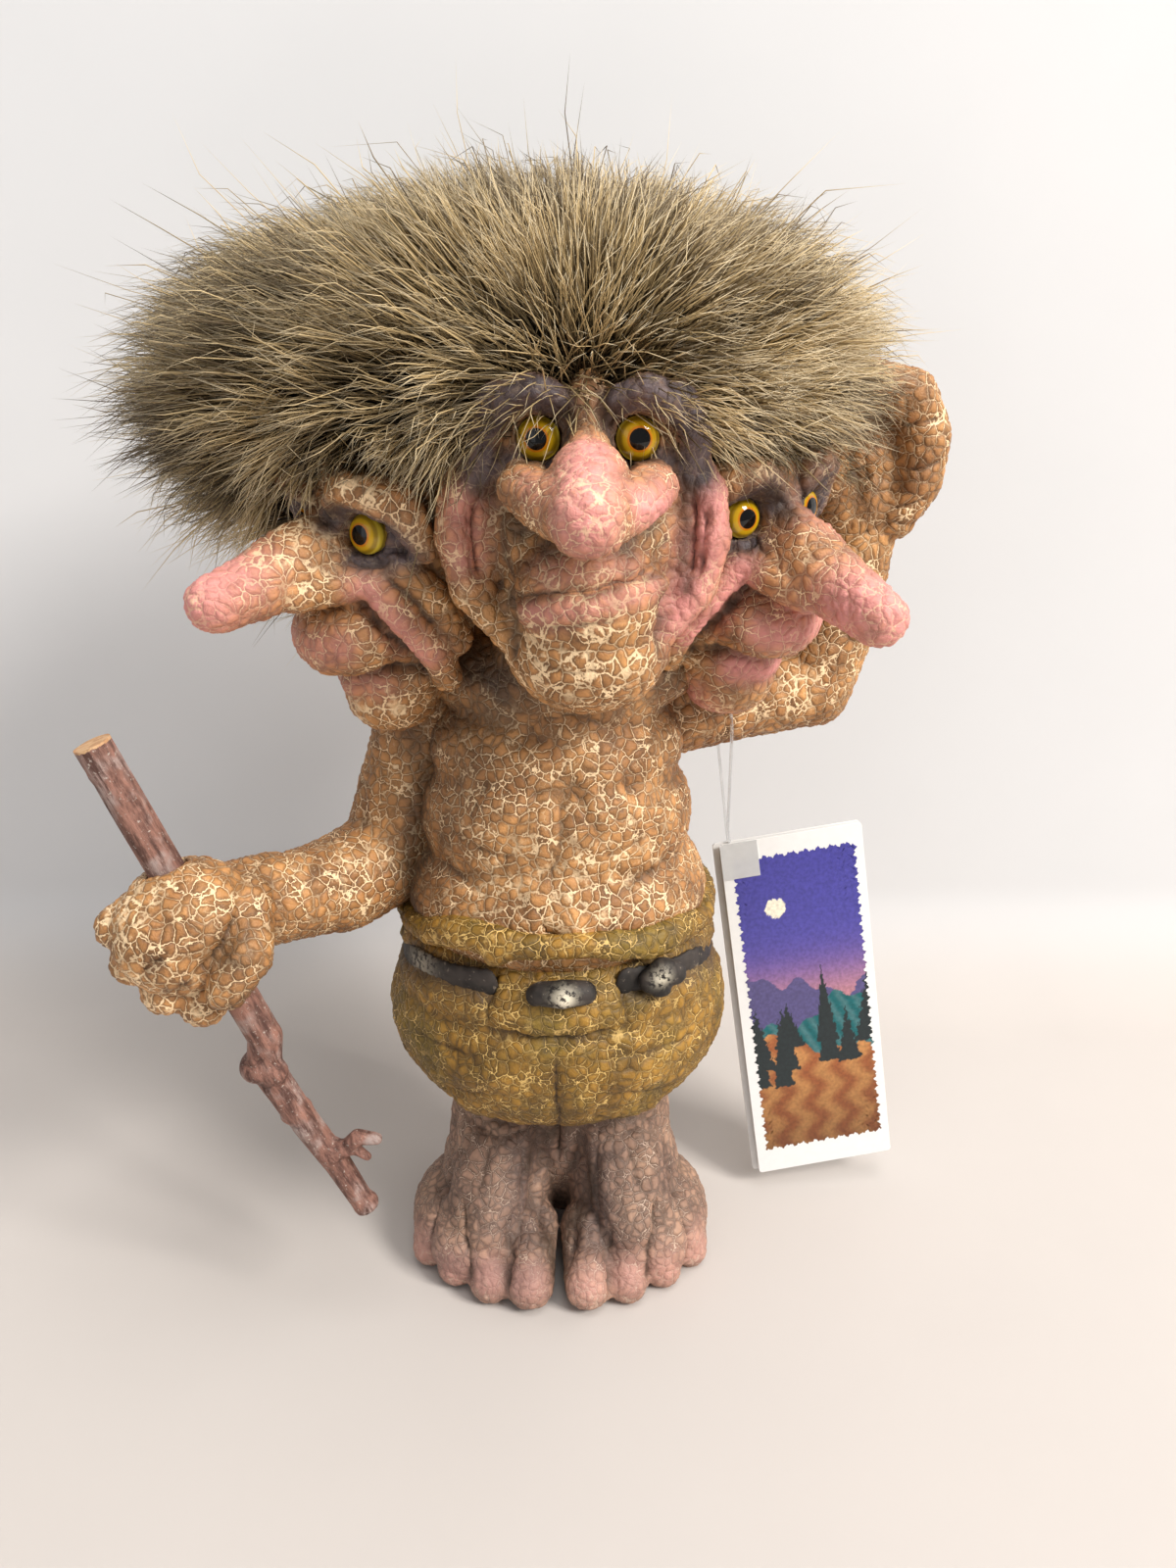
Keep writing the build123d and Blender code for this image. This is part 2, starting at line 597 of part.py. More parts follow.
# Hang tag: two leaves folded at a spine, in a frame with x to the right, y up and z out of its front
yaw, lean, roll = radians(TAG_YAW), radians(TAG_LEAN), radians(TAG_ROLL)
tag_front_way = Vector(sin(yaw) * cos(lean), -cos(yaw) * cos(lean), sin(lean))
tag_level = Vector(cos(yaw), sin(yaw), 0)
tag_right = tag_level * cos(roll) + tag_front_way.cross(tag_level) * sin(roll)
tag_frame = Plane(origin=TAG_CORNER, x_dir=tag_right, z_dir=tag_front_way)
LEAF_STEP = LEAF_THICKNESS + LEAF_GAP
SPINE_Z = -LEAF_THICKNESS - LEAF_GAP / 2
LEAF_START = SPINE_RADIUS + SPINE_GAP
BACK_MIDDLE = -LEAF_STEP - LEAF_THICKNESS / 2

with BuildPart(tag_frame) as tag_front:
    with Locations((LEAF_START, 0, 0)):
        Box(TAG_WIDTH - LEAF_START, TAG_LENGTH, LEAF_THICKNESS, align=(Align.MIN, Align.MAX, Align.MAX))

with BuildPart(tag_frame) as tag_back:
    with Locations((0, 0, -LEAF_STEP)):
        Box(TAG_WIDTH, TAG_LENGTH, LEAF_THICKNESS, align=(Align.MIN, Align.MAX, Align.MAX))
    with Locations(Location((0, 0, SPINE_Z), (90, 0, 0))):
        Cylinder(SPINE_RADIUS, TAG_LENGTH, align=(Align.CENTER, Align.CENTER, Align.MIN))
    with Locations((HOLE_INSET, -HOLE_INSET, BACK_MIDDLE)):
        Cylinder(HOLE_RADIUS, 2 * LEAF_THICKNESS, mode=Mode.SUBTRACT)

with BuildPart(tag_frame) as tag_tape:
    with Locations((LEAF_START, 0, 0)):
        Box(TAPE_SIZE, TAPE_SIZE, TAPE_THICKNESS, align=(Align.MIN, Align.MAX, Align.MIN))

# Clear loop through the hole of the back leaf and over the raised upper arm
loop_eye = tag_frame.from_local_coords((HOLE_INSET, -HOLE_INSET, BACK_MIDDLE))
loop_frame = Plane(origin=loop_eye, x_dir=tag_frame.z_dir, z_dir=-tag_frame.x_dir)
arm_line = Vector(*LEFT_ELBOW) - Vector(*LEFT_SHOULDER)
arm_share = (loop_eye - Vector(*LEFT_SHOULDER)).dot(tag_frame.x_dir) / arm_line.dot(tag_frame.x_dir)
arm_middle = loop_frame.to_local_coords(Vector(*LEFT_SHOULDER) + arm_line * arm_share)
hang_radius = UPPER_ARM_RADIUS + LOOP_GAP + LOOP_RADIUS


def tangent_point(start_x, start_y, side):
    """Point where a straight run from the loop's neck meets the round over the arm."""
    run_x, run_y = start_x - arm_middle.X, start_y - arm_middle.Y
    turn = atan2(run_y, run_x) + side * acos(hang_radius / sqrt(run_x**2 + run_y**2))
    return arm_middle.X + hang_radius * cos(turn), arm_middle.Y + hang_radius * sin(turn)


neck_y = HOLE_INSET + LOOP_NECK
front_meet = tangent_point(LOOP_TURN, neck_y, 1)
back_meet = tangent_point(-LOOP_TURN, neck_y, -1)

with BuildPart() as tag_loop:
    with BuildLine(loop_frame) as loop_path:
        Polyline(back_meet, (-LOOP_TURN, neck_y), (-LOOP_TURN, 0))
        ThreePointArc((-LOOP_TURN, 0), (0, -LOOP_TURN), (LOOP_TURN, 0))
        Polyline((LOOP_TURN, 0), (LOOP_TURN, neck_y), front_meet)
        RadiusArc(front_meet, back_meet, hang_radius, short_sagitta=False)
    with BuildSketch(Plane(origin=loop_path.line @ 0, z_dir=loop_path.line % 0)):
        Circle(LOOP_RADIUS)
    sweep(transition=Transition.ROUND)

finish(feet, "feet")
finish(trousers, "trousers")
finish(belt, "belt")
finish(belt_knobs, "belt_knobs")
finish(torso, "torso")
finish(right_arm, "right_arm")
finish(left_arm, "left_arm")
finish(middle_head, "middle_head")
finish(left_head, "left_head")
finish(right_head, "right_head")
finish(fur_wig, "fur_wig")
finish(twig, "twig")
finish(tag_back, "tag_back")
finish(tag_front, "tag_front")
finish(tag_loop, "tag_loop")
finish(tag_tape, "tag_tape")

for head_name, face, seats in (
    ("middle", middle_face, middle_seats),
    ("left", left_face, side_seats),
    ("right", right_face, side_seats),
):
    for side_name, seat in zip(("left", "right"), seats):
        for piece_name, form in (("eye_lens", eye_lens), ("eye_disc", eye_disc)):
            with BuildPart(face) as eye_piece:
                with Locations(seat):
                    add(form.part)
            finish(eye_piece, f"{head_name}_head_{side_name}_{piece_name}")
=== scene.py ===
"""Looks of the three-headed troll figure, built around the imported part."""

from math import cos, degrees, hypot, pi, radians, sin

import bmesh
import bpy
import numpy as np
from mathutils import Euler, Matrix, Vector
from mathutils.kdtree import KDTree


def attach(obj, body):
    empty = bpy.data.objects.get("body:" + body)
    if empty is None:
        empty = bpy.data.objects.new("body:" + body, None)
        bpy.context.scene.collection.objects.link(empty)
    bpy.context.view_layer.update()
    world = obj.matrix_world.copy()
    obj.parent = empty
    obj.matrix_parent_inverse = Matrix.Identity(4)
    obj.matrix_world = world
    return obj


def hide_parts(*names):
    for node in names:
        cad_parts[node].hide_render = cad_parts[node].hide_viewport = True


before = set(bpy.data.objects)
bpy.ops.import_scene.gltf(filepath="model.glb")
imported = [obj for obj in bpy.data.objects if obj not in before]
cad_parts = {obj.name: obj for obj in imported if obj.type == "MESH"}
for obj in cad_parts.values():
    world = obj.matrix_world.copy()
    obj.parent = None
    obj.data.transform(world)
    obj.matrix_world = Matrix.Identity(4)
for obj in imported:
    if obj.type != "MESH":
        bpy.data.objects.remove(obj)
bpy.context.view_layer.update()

bl_info = {
    "name": "Troll figure",
    "version": (1, 0, 0),
    "blender": (4, 5, 0),
    "location": "View3D > Sidebar > Troll",
    "description": "Builds a three-headed troll figure around its packed frame",
    "category": "Add Mesh",
}

MM = 0.001
SEED = 7

# Places shared with the construction, in millimetres
MIDDLE_PLACE = (6.0, -6.0, 166.0)
LEFT_PLACE = (-24.0, 0.0, 151.0)
RIGHT_PLACE = (27.0, 5.0, 152.5)
LEFT_TURN = -42.0
RIGHT_TURN = 38.0
LEFT_DROOP = 9.0
RIGHT_DROOP = 19.5
MIDDLE_EYES = (7.2, 18.5, 7.6)
SIDE_EYES = (7.2, 15.2, 6.8)
EYE_RADIUS = 3.2
EYE_SPLAY = 10.0
SOCKET_DEPTH = 1.4
FIST_CENTRE = (-60.2, -28.0, 93.5)
TWIG_LEAN = -20.3
TWIG_RADIUS = 3.3
BORE_GAP = 0.25
TWIG_TOP = 36.0
TWIG_FOOT = -67.6
BELT_HEIGHT = 78.0
TAG_CORNER = (32.6, 20.6, 83.0)
TAG_WIDTH = 32.0
TAG_LENGTH = 80.0
TAG_YAW = 4.5
TAG_LEAN = 10.0
TAG_ROLL = 7.6
LEAF_STEP = 1.7
LEAF_THICKNESS = 0.5
FOLD_INSET = 1.2
# Angles at which the belt starts and ends, around from the viewer's right and past the back
BELT_START = 296.0
BELT_END = 606.0
# Steps between two points of a brush line, and the count of points that needs no steps
PATH_STEPS = 5
LONG_PATH = 16
# Layers of paint that a casting carries; the brushed shade layer and the hollows are painted shade, which
# darkens the paint
LAYERS = ("pink", "dusk", "painted_shade", "bare", "hollow")


# Modelling clay


def face_frame(place, turn):
    """Frame of a face: x to the viewer's right, its own -Y looks out of the face."""
    return Matrix.Translation(place) @ Matrix.Rotation(radians(turn), 4, "Z")


def distance_to_path(points, path):
    """Distance of many points from a line through a few points, and how far along it each lies."""
    best = np.full(len(points), np.inf)
    along = np.zeros(len(points))
    if len(path) == 1:
        return np.linalg.norm(points - path[0], axis=1), along
    for index, (start, end) in enumerate(zip(path[:-1], path[1:])):
        way = end - start
        share = np.clip((points - start) @ way / max(way @ way, 1e-9), 0, 1)
        distance = np.linalg.norm(points - start - share[:, None] * way, axis=1)
        nearer = distance < best
        best = np.where(nearer, distance, best)
        along = np.where(nearer, (index + share) / (len(path) - 1), along)
    return best, along


class Clay:
    """Casting modelled in millimetres from lumps and rolls, then worked with brushes and paint."""

    def __init__(self, place=None):
        self.place = place or Matrix.Identity(4)
        self.form = bmesh.new()
        self.paints = {}

    def spot(self, point):
        """Point of the casting's own frame in the figure's frame."""
        return self.place @ Vector(point)

    def lump(self, centre, size, turn=(0, 0, 0)):
        """Presses on an egg of the given half sizes."""
        angles = Euler([radians(angle) for angle in turn])
        egg = Matrix.LocRotScale(Vector(centre), angles, Vector(size))
        bmesh.ops.create_icosphere(self.form, subdivisions=3, radius=1, matrix=self.place @ egg)

    def roll(self, points, *radii):
        """Presses on a round-ended roll through a few points, with a radius at each."""
        spots = [self.spot(point) for point in points]
        sizes = list(radii) + [radii[-1]] * (len(spots) - len(radii))
        for start, end, start_radius, end_radius in zip(spots, spots[1:], sizes, sizes[1:]):
            way = (end - start).to_track_quat("Z", "Y")
            made = bmesh.ops.create_icosphere(self.form, subdivisions=3, radius=1)
            for vert in made["verts"]:
                far = vert.co.z > 0
                radius = end_radius if far else start_radius
                vert.co = (end if far else start) + way @ (vert.co * radius)

    def pair(self, method, points, *sizes):
        """Does the same on both sides of the face."""
        for side in (-1, 1):
            method([(side * x, y, z) for x, y, z in points], *sizes)

    def cast(self, name, grain=0.45, soften=5, bore=None):
        """Joins the clay into one skin of even grain, and cuts a round bore if one is given."""
        self.object = linked(name, form_mesh(name, self.form))
        remesh = self.object.modifiers.new("one skin", "REMESH")
        remesh.mode = "VOXEL"
        remesh.voxel_size = grain * MM
        self.bake()
        if bore is not None:
            cutter = linked("bore", bore)
            cut = self.object.modifiers.new("bore", "BOOLEAN")
            cut.operation = "DIFFERENCE"
            cut.object = cutter
            cut.solver = "EXACT"
            self.bake()
            bpy.data.objects.remove(cutter)
            bpy.data.meshes.remove(bore)
        self.read()
        self.soften(soften)

    def bake(self):
        """Puts the modifiers into the mesh."""
        whole = self.object.evaluated_get(bpy.context.evaluated_depsgraph_get())
        mesh = bpy.data.meshes.new_from_object(whole)
        mesh.name = self.object.name
        self.object.modifiers.clear()
        old, self.object.data = self.object.data, mesh
        bpy.data.meshes.remove(old)

    def read(self):
        """Takes the mesh into arrays."""
        mesh = self.object.data
        count = len(mesh.vertices)
        flat = np.empty(count * 3)
        mesh.vertices.foreach_get("co", flat)
        self.points = flat.reshape(-1, 3) / MM
        ends = np.empty(len(mesh.edges) * 2, int)
        mesh.edges.foreach_get("vertices", ends)
        self.edges = ends.reshape(-1, 2)
        self.degree = np.bincount(self.edges.ravel(), minlength=count).clip(1)

    def write(self):
        """Puts the arrays back into the mesh."""
        mesh = self.object.data
        mesh.vertices.foreach_set("co", (self.points * MM).ravel())
        mesh.update()

    def normals(self):
        """Directions out of the surface."""
        self.write()
        flat = np.empty(len(self.points) * 3)
        self.object.data.vertex_normals.foreach_get("vector", flat)
        return flat.reshape(-1, 3)

    def mean(self, values):
        """Mean of the neighbours of each point."""
        first, second = self.edges.T
        count = len(self.points)
        columns = [
            np.bincount(first, column[second], count) + np.bincount(second, column[first], count)
            for column in values.T
        ]
        return np.stack(columns, axis=1) / self.degree[:, None]

    def soften(self, rounds, weight=0.6):
        """Smooths the whole surface."""
        for _ in range(rounds):
            self.points += (self.mean(self.points) - self.points) * weight

    def path(self, points):
        """Line through a few points of the casting's own frame, laid on its surface."""
        marks = np.array([self.spot(point) for point in points])
        if 1 < len(marks) < LONG_PATH:
            shares = np.linspace(0, 1, PATH_STEPS, endpoint=False)[:, None]
            spans = [start + (end - start) * shares for start, end in zip(marks, marks[1:])]
            marks = np.concatenate(spans + [marks[-1:]])
        return self.points[[np.argmin(((self.points - mark) ** 2).sum(1)) for mark in marks]]

    def ridge(self, points, height, width, sharp=False):
        """Raises a soft ridge along a line, or cuts a crease where the height is below nought."""
        path = self.path(points)
        low, high = path.min(0) - 3 * width, path.max(0) + 3 * width
        near = np.all((self.points > low) & (self.points < high), axis=1)
        distance, along = distance_to_path(self.points[near], path)
        fade = np.exp(-distance / width * 1.4) if sharp else np.exp(-((distance / width) ** 2))
        taper = np.clip(np.minimum(along, 1 - along) * 5, 0.35, 1) if len(path) > 1 else 1
        self.points[near] += self.normals()[near] * (height * fade * taper)[:, None]

    def crease(self, points, depth, width):
        """Cuts a sharp crease along a line."""
        self.ridge(points, -depth, width, sharp=True)

    def eye_seat(self, centre, out, radius, depth):
        """Sinks a flat-floored round socket for an eye and raises lids around it."""
        middle = np.array(self.spot(centre))
        axis = np.array((self.place.to_3x3() @ Vector(out)).normalized())
        offset = self.points - middle
        rise = offset @ axis
        aside = np.linalg.norm(offset - rise[:, None] * axis, axis=1)
        near = (aside < radius * 2.2) & (np.abs(rise) < radius * 2.5)
        level = np.exp(-((aside / (radius * 1.5)) ** 4))
        self.points[near] -= (rise * level * 0.85)[near, None] * axis
        offset = self.points - middle
        rise = offset @ axis
        floor = near & (aside < radius + 0.25) & (rise > -depth)
        self.points[floor] += (-depth - rise[floor])[:, None] * axis
        rim = near & ~floor
        lid = np.exp(-(((aside - radius - 0.8) / 0.6) ** 2)) * 0.4
        self.points[rim] += lid[rim, None] * axis

    def paint(self, layer, points, radius, strength=1.0):
        """Brushes a layer of paint along a line."""
        values = self.paints.setdefault(layer, np.zeros(len(self.points)))
        distance, _ = distance_to_path(self.points, self.path(points))
        coat = strength * np.exp(-((distance / radius) ** 2))
        np.copyto(values, np.maximum(values, coat))

    def paint_pair(self, layer, points, radius, strength=1.0):
        """Brushes the same on both sides of the face."""
        self.pair(lambda line: self.paint(layer, line, radius, strength), points)

    def hollows(self, rounds, scale):
        """How far each point lies in a hollow, from 0 to 1."""
        kept = self.points.copy()
        normals = self.normals()
        self.soften(rounds)
        depth = np.einsum("ij,ij->i", self.points - kept, normals)
        self.points = kept
        return np.clip(depth / scale, 0, 1)

    def finish(self, body, slot, cad_nodes, material, relief=None):
        """Writes shape and paint, and gives the piece its body, material and fine relief; its slot is not
        used.
        """
        # How deep each point lies in a hollow; the materials darken the hollows with it as painted shade.
        narrow, broad = self.hollows(14, 0.5), self.hollows(80, 1.3)
        self.paints["hollow"] = np.maximum(narrow, broad * 0.95)
        self.write()
        mesh = self.object.data
        for layer in LAYERS:
            values = np.clip(self.paints.get(layer, np.zeros(len(self.points))), 0, 1)
            mark_points(mesh, layer, values)
        mesh.shade_smooth()
        mesh.materials.clear()
        mesh.materials.append(material)
        if relief is not None:
            modifier = self.object.modifiers.new("relief", "NODES")
            modifier.node_group = relief
        settle(self.object, body, cad_nodes)


def form_mesh(name, form):
    """Mesh from a bmesh in millimetres."""
    mesh = bpy.data.meshes.new(name)
    form.to_mesh(mesh)
    form.free()
    mesh.transform(Matrix.Scale(MM, 4))
    return mesh


def linked(name, data):
    """Object of the scene that shows a mesh, a light or a camera."""
    thing = bpy.data.objects.new(name, data)
    bpy.context.scene.collection.objects.link(thing)
    return thing


def mark_points(mesh, layer, values):
    """Keeps a number with each point of a mesh."""
    attribute = mesh.attributes.new(layer, "FLOAT", "POINT")
    attribute.data.foreach_set("value", np.asarray(values, np.float32))


def settle(piece, body, cad_nodes=()):
    """Gives a piece its body, and hides the parts that it stands for."""
    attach(piece, body)
    for node in cad_nodes:
        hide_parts(node)


def mesh_piece(name, form, material):
    """Object from a bmesh in millimetres."""
    mesh = form_mesh(name, form)
    mesh.materials.append(material)
    return linked(name, mesh)


# Node trees

# How unevenly the cells of the crackled paint lie, and how many fine ones go into the width of a big one
CELL_DISORDER = 0.78
FINE_CELLS = 2.1
# Sockets of the shader that get a plain level
LEVEL_SOCKETS = {
    "rough": "Roughness",
    "bend": "IOR",
    "coat": "Coat Weight",
    "coat_rough": "Coat Roughness",
    "clear": "Transmission Weight",
}


class Tree:
    """Short forms for building a node tree."""

    def __init__(self, tree):
        self.tree = tree

    def put(self, target, value):
        """Sets a socket or links it."""
        if isinstance(value, bpy.types.NodeSocket):
            self.tree.links.new(value, target)
        else:
            target.default_value = value

    def node(self, kind, inputs=(), **settings):
        """Adds a node with settings, and with its inputs by name or number."""
        node = self.tree.nodes.new(kind)
        for key, value in settings.items():
            setattr(node, key, value)
        for key, value in dict(inputs).items():
            self.put(node.inputs[key], value)
        return node

    def position(self):
        """Place on the piece."""
        return self.node("ShaderNodeTexCoord").outputs["Object"]

    def layer(self, name):
        """Number kept with the points of the piece, such as a layer of paint."""
        return self.node("ShaderNodeAttribute", attribute_name=name).outputs["Fac"]

    def math(self, operation, first, second=0.0, third=0.0, clamp=False):
        """Sum on numbers."""
        inputs = {0: first, 1: second, 2: third}
        return self.node("ShaderNodeMath", inputs, operation=operation, use_clamp=clamp).outputs[0]

    def shift(self, operation, first, second):
        """Sum on vectors."""
        return self.node("ShaderNodeVectorMath", {0: first, 1: second}, operation=operation).outputs[0]

    def scaled(self, vector, factor):
        """Vector times a number."""
        node = self.node("ShaderNodeVectorMath", {0: vector, "Scale": factor}, operation="SCALE")
        return node.outputs[0]

    def step(self, value, low, high, start=0.0, end=1.0):
        """Smooth step from one value to another."""
        node = self.node(
            "ShaderNodeMapRange",
            {"Value": value, "From Min": low, "From Max": high, "To Min": start, "To Max": end},
            interpolation_type="SMOOTHSTEP",
        )
        return node.outputs[0]

    def noise(self, vector, scale, detail=2.0, rough=0.5, colour=False):
        """Cloudy pattern, as a number around a half or as a colour."""
        inputs = {"Vector": vector, "Scale": scale, "Detail": detail, "Roughness": rough}
        return self.node("ShaderNodeTexNoise", inputs).outputs[1 if colour else 0]

    def cells(self, vector, scale, feature):
        """Cell pattern: distance to the edge, or the random colour of each cell."""
        inputs = {"Vector": vector, "Scale": scale, "Randomness": CELL_DISORDER}
        node = self.node("ShaderNodeTexVoronoi", inputs, feature=feature)
        return node.outputs["Distance" if feature == "DISTANCE_TO_EDGE" else "Color"]

    def mix(self, share, first, second):
        """Colour between two colours."""
        node = self.node("ShaderNodeMix", data_type="RGBA")
        self.put(node.inputs[0], share)
        self.put(node.inputs[6], first if isinstance(first, bpy.types.NodeSocket) else (*first, 1))
        self.put(node.inputs[7], second if isinstance(second, bpy.types.NodeSocket) else (*second, 1))
        return node.outputs[2]

    def times(self, colour, value):
        """Colour times a number."""
        grey = self.node("ShaderNodeCombineColor", {0: value, 1: value, 2: value}).outputs[0]
        node = self.node("ShaderNodeMix", data_type="RGBA", blend_type="MULTIPLY")
        node.inputs[0].default_value = 1
        self.put(node.inputs[6], colour)
        self.put(node.inputs[7], grey)
        return node.outputs[2]


def warped(tree, position, cell):
    """Place in cells of the given size, bent so that the cracks run unevenly."""
    place = tree.scaled(position, 1 / (cell * MM))
    sway = tree.shift("SUBTRACT", tree.noise(place, 0.45, 1.0, colour=True), (0.5, 0.5, 0.5))
    wave = tree.shift("SUBTRACT", tree.noise(place, 2.6, 2.0, colour=True), (0.5, 0.5, 0.5))
    place = tree.shift("ADD", place, tree.scaled(sway, 1.1))
    return tree.shift("ADD", place, tree.scaled(wave, 0.34))


def new_material(name, **levels):
    """Material with plain levels on its shader, such as its roughness, and the material's tree and shader."""
    material = bpy.data.materials.new(name)
    material.use_nodes = True
    shader = material.node_tree.nodes["Principled BSDF"]
    for level, value in levels.items():
        shader.inputs[LEVEL_SOCKETS[level]].default_value = value
    return material, Tree(material.node_tree), shader


def mottled_material(name, noise, first, second, **levels):
    """Material of two tones, mixed by a cloudy pattern of the given scale, detail and roughness."""
    material, tree, shader = new_material(name, **levels)
    tone = tree.mix(tree.noise(tree.position(), *noise), first, second)
    tree.put(shader.inputs["Base Color"], tone)
    return material


def crackle_material(name, cell, cells, cracks, pink, rough, crack_width=0.045, moss=None):
    """Old latex paint: puffed cells of colour with pale cracks between them, and painted shade that darkens
    the hollows and the places brushed for it.
    """
    material, tree, shader = new_material(name)
    position = tree.position()
    place = warped(tree, position, cell)
    big = tree.cells(place, 1.0, "DISTANCE_TO_EDGE")
    fine = tree.cells(place, FINE_CELLS, "DISTANCE_TO_EDGE")
    patches = tree.noise(position, 110.0, 3.0, 0.55)
    blotches = tree.noise(position, 420.0, 4.0, 0.6)
    painted_shade = tree.layer("painted_shade")
    hollow = tree.layer("hollow")
    dusk = tree.layer("dusk")
    bare = tree.layer("bare")
    rosy = tree.layer("pink")
    wide = tree.step(patches, 0.35, 0.7, crack_width * 0.75, crack_width * 1.35)
    wide = tree.math("MULTIPLY_ADD", bare, crack_width, wide)
    wide = tree.math("MULTIPLY", wide, tree.step(blotches, 0.3, 0.7, 0.55, 1.5))
    crack = tree.step(big, tree.math("MULTIPLY", wide, 0.4), wide, 1.0, 0.0)
    hair_crack = tree.step(fine, 0.0, tree.math("MULTIPLY", wide, 0.9), 0.5, 0.0)
    hair_crack = tree.math("MULTIPLY", hair_crack, tree.step(blotches, 0.5, 0.62))
    crack = tree.math("MAXIMUM", crack, hair_crack)
    faded = tree.step(tree.noise(position, 200.0, 2.0), 0.38, 0.6, 0.22, 1.0)
    crack = tree.math("MULTIPLY", crack, tree.math("MULTIPLY_ADD", bare, 0.6, faded, clamp=True))
    # The pale cracks fade under the dusky and rosy paint, and in the hollows as painted shade.
    kept = tree.math("MULTIPLY_ADD", dusk, -0.85, 1.0, clamp=True)
    kept = tree.math("MULTIPLY", kept, tree.math("MULTIPLY_ADD", hollow, -0.9, 1.0, clamp=True))
    kept = tree.math("MULTIPLY", kept, tree.math("MULTIPLY_ADD", rosy, -0.6, 1.0, clamp=True))
    crack = tree.math("MULTIPLY", crack, kept)
    tone = tree.mix(tree.step(patches, 0.3, 0.75), cells[0], cells[1])
    if moss is not None:
        tone = tree.mix(tree.step(tree.noise(position, 60.0, 3.0, 0.6), 0.42, 0.66), tone, moss)
    shade = tree.node("ShaderNodeSeparateColor", {0: tree.cells(place, 1.0, "F1")}).outputs[0]
    tone = tree.times(tone, tree.math("MULTIPLY_ADD", shade, 0.4, 0.8))
    # Painted shade: each puffed cell darkens where it rounds down into its crack.
    tone = tree.times(tone, tree.step(big, 0.0, 0.3, 0.5, 1.16))
    rosy = tree.math("MULTIPLY", rosy, tree.step(blotches, 0.2, 0.6, 0.55, 1.0))
    tone = tree.mix(rosy, tone, pink)
    dusk_tone = tree.mix(tree.step(patches, 0.3, 0.7), (0.05, 0.034, 0.037), (0.13, 0.093, 0.095))
    tone = tree.mix(tree.math("MULTIPLY", dusk, tree.step(blotches, 0.2, 0.5, 0.7, 1.0)), tone, dusk_tone)
    tone = tree.mix(crack, tone, cracks)
    # Cream where the paint is worn, which on the nose tip, chin, belly and fist also stands as a painted
    # highlight.
    wear_and_highlight = tree.math("MULTIPLY", bare, tree.step(blotches, 0.55, 0.66))
    tone = tree.mix(wear_and_highlight, tone, cracks)
    # Painted shade: the hollows and the brushed shade layer darken the paint towards dark brown.
    shade_mask = tree.math("MULTIPLY", hollow, tree.step(blotches, 0.2, 0.7, 0.75, 1.0))
    shade_mask = tree.math("MAXIMUM", shade_mask, painted_shade)
    tone = tree.mix(tree.math("MULTIPLY", shade_mask, 0.88), tone, (0.055, 0.032, 0.018))
    tree.put(shader.inputs["Base Color"], tone)
    tree.put(shader.inputs["Roughness"], tree.math("MULTIPLY_ADD", blotches, 0.3, rough - 0.15))
    height = tree.math("MULTIPLY_ADD", tree.step(fine, 0.0, 0.16), 0.4, tree.step(big, 0.0, 0.22))
    height = tree.math("MULTIPLY_ADD", blotches, 0.7, height)
    bump = tree.node("ShaderNodeBump", {"Height": height, "Strength": 0.45, "Distance": 0.00025})
    tree.put(shader.inputs["Normal"], bump.outputs[0])
    return material


def crackle_relief(name, cell, puff, lumps):
    """Fine relief of the casting: puffed cells lined up with the painted cracks, and uneven lumps."""
    group = bpy.data.node_groups.new(name, "GeometryNodeTree")
    group.interface.new_socket("Geometry", in_out="INPUT", socket_type="NodeSocketGeometry")
    group.interface.new_socket("Geometry", in_out="OUTPUT", socket_type="NodeSocketGeometry")
    tree = Tree(group)
    entry = tree.node("NodeGroupInput").outputs[0]
    position = tree.node("GeometryNodeInputPosition").outputs[0]
    normal = tree.node("GeometryNodeInputNormal").outputs[0]
    place = warped(tree, position, cell)
    big = tree.step(tree.cells(place, 1.0, "DISTANCE_TO_EDGE"), 0.0, 0.3)
    fine = tree.step(tree.cells(place, FINE_CELLS, "DISTANCE_TO_EDGE"), 0.0, 0.3)
    rise = tree.math("MULTIPLY_ADD", fine, 0.45, big)
    rise = tree.math("MULTIPLY", rise, puff * MM)
    cloud = tree.math("SUBTRACT", tree.noise(position, 170.0, 3.0, 0.55), 0.5)
    rise = tree.math("MULTIPLY_ADD", cloud, lumps * MM, rise)
    raised = tree.node("GeometryNodeSetPosition", {0: entry, 3: tree.scaled(normal, rise)})
    leave = tree.node("NodeGroupOutput")
    group.links.new(raised.outputs[0], leave.inputs[0])
    return group


# Heads


def eye_places(eyes):
    """Middle of each eye of a face and the way that it looks, the viewer's left eye first."""
    spread, reach, height = eyes
    splay = radians(EYE_SPLAY)
    for side in (-1, 1):
        out = Vector((side * sin(splay), -cos(splay), sin(splay) / 2)).normalized()
        yield Vector((side * spread, -reach, height)), out


def seat_eyes(clay, eyes):
    """Sinks the two eye sockets of a face."""
    for centre, out in eye_places(eyes):
        clay.eye_seat(centre, out, EYE_RADIUS, SOCKET_DEPTH)


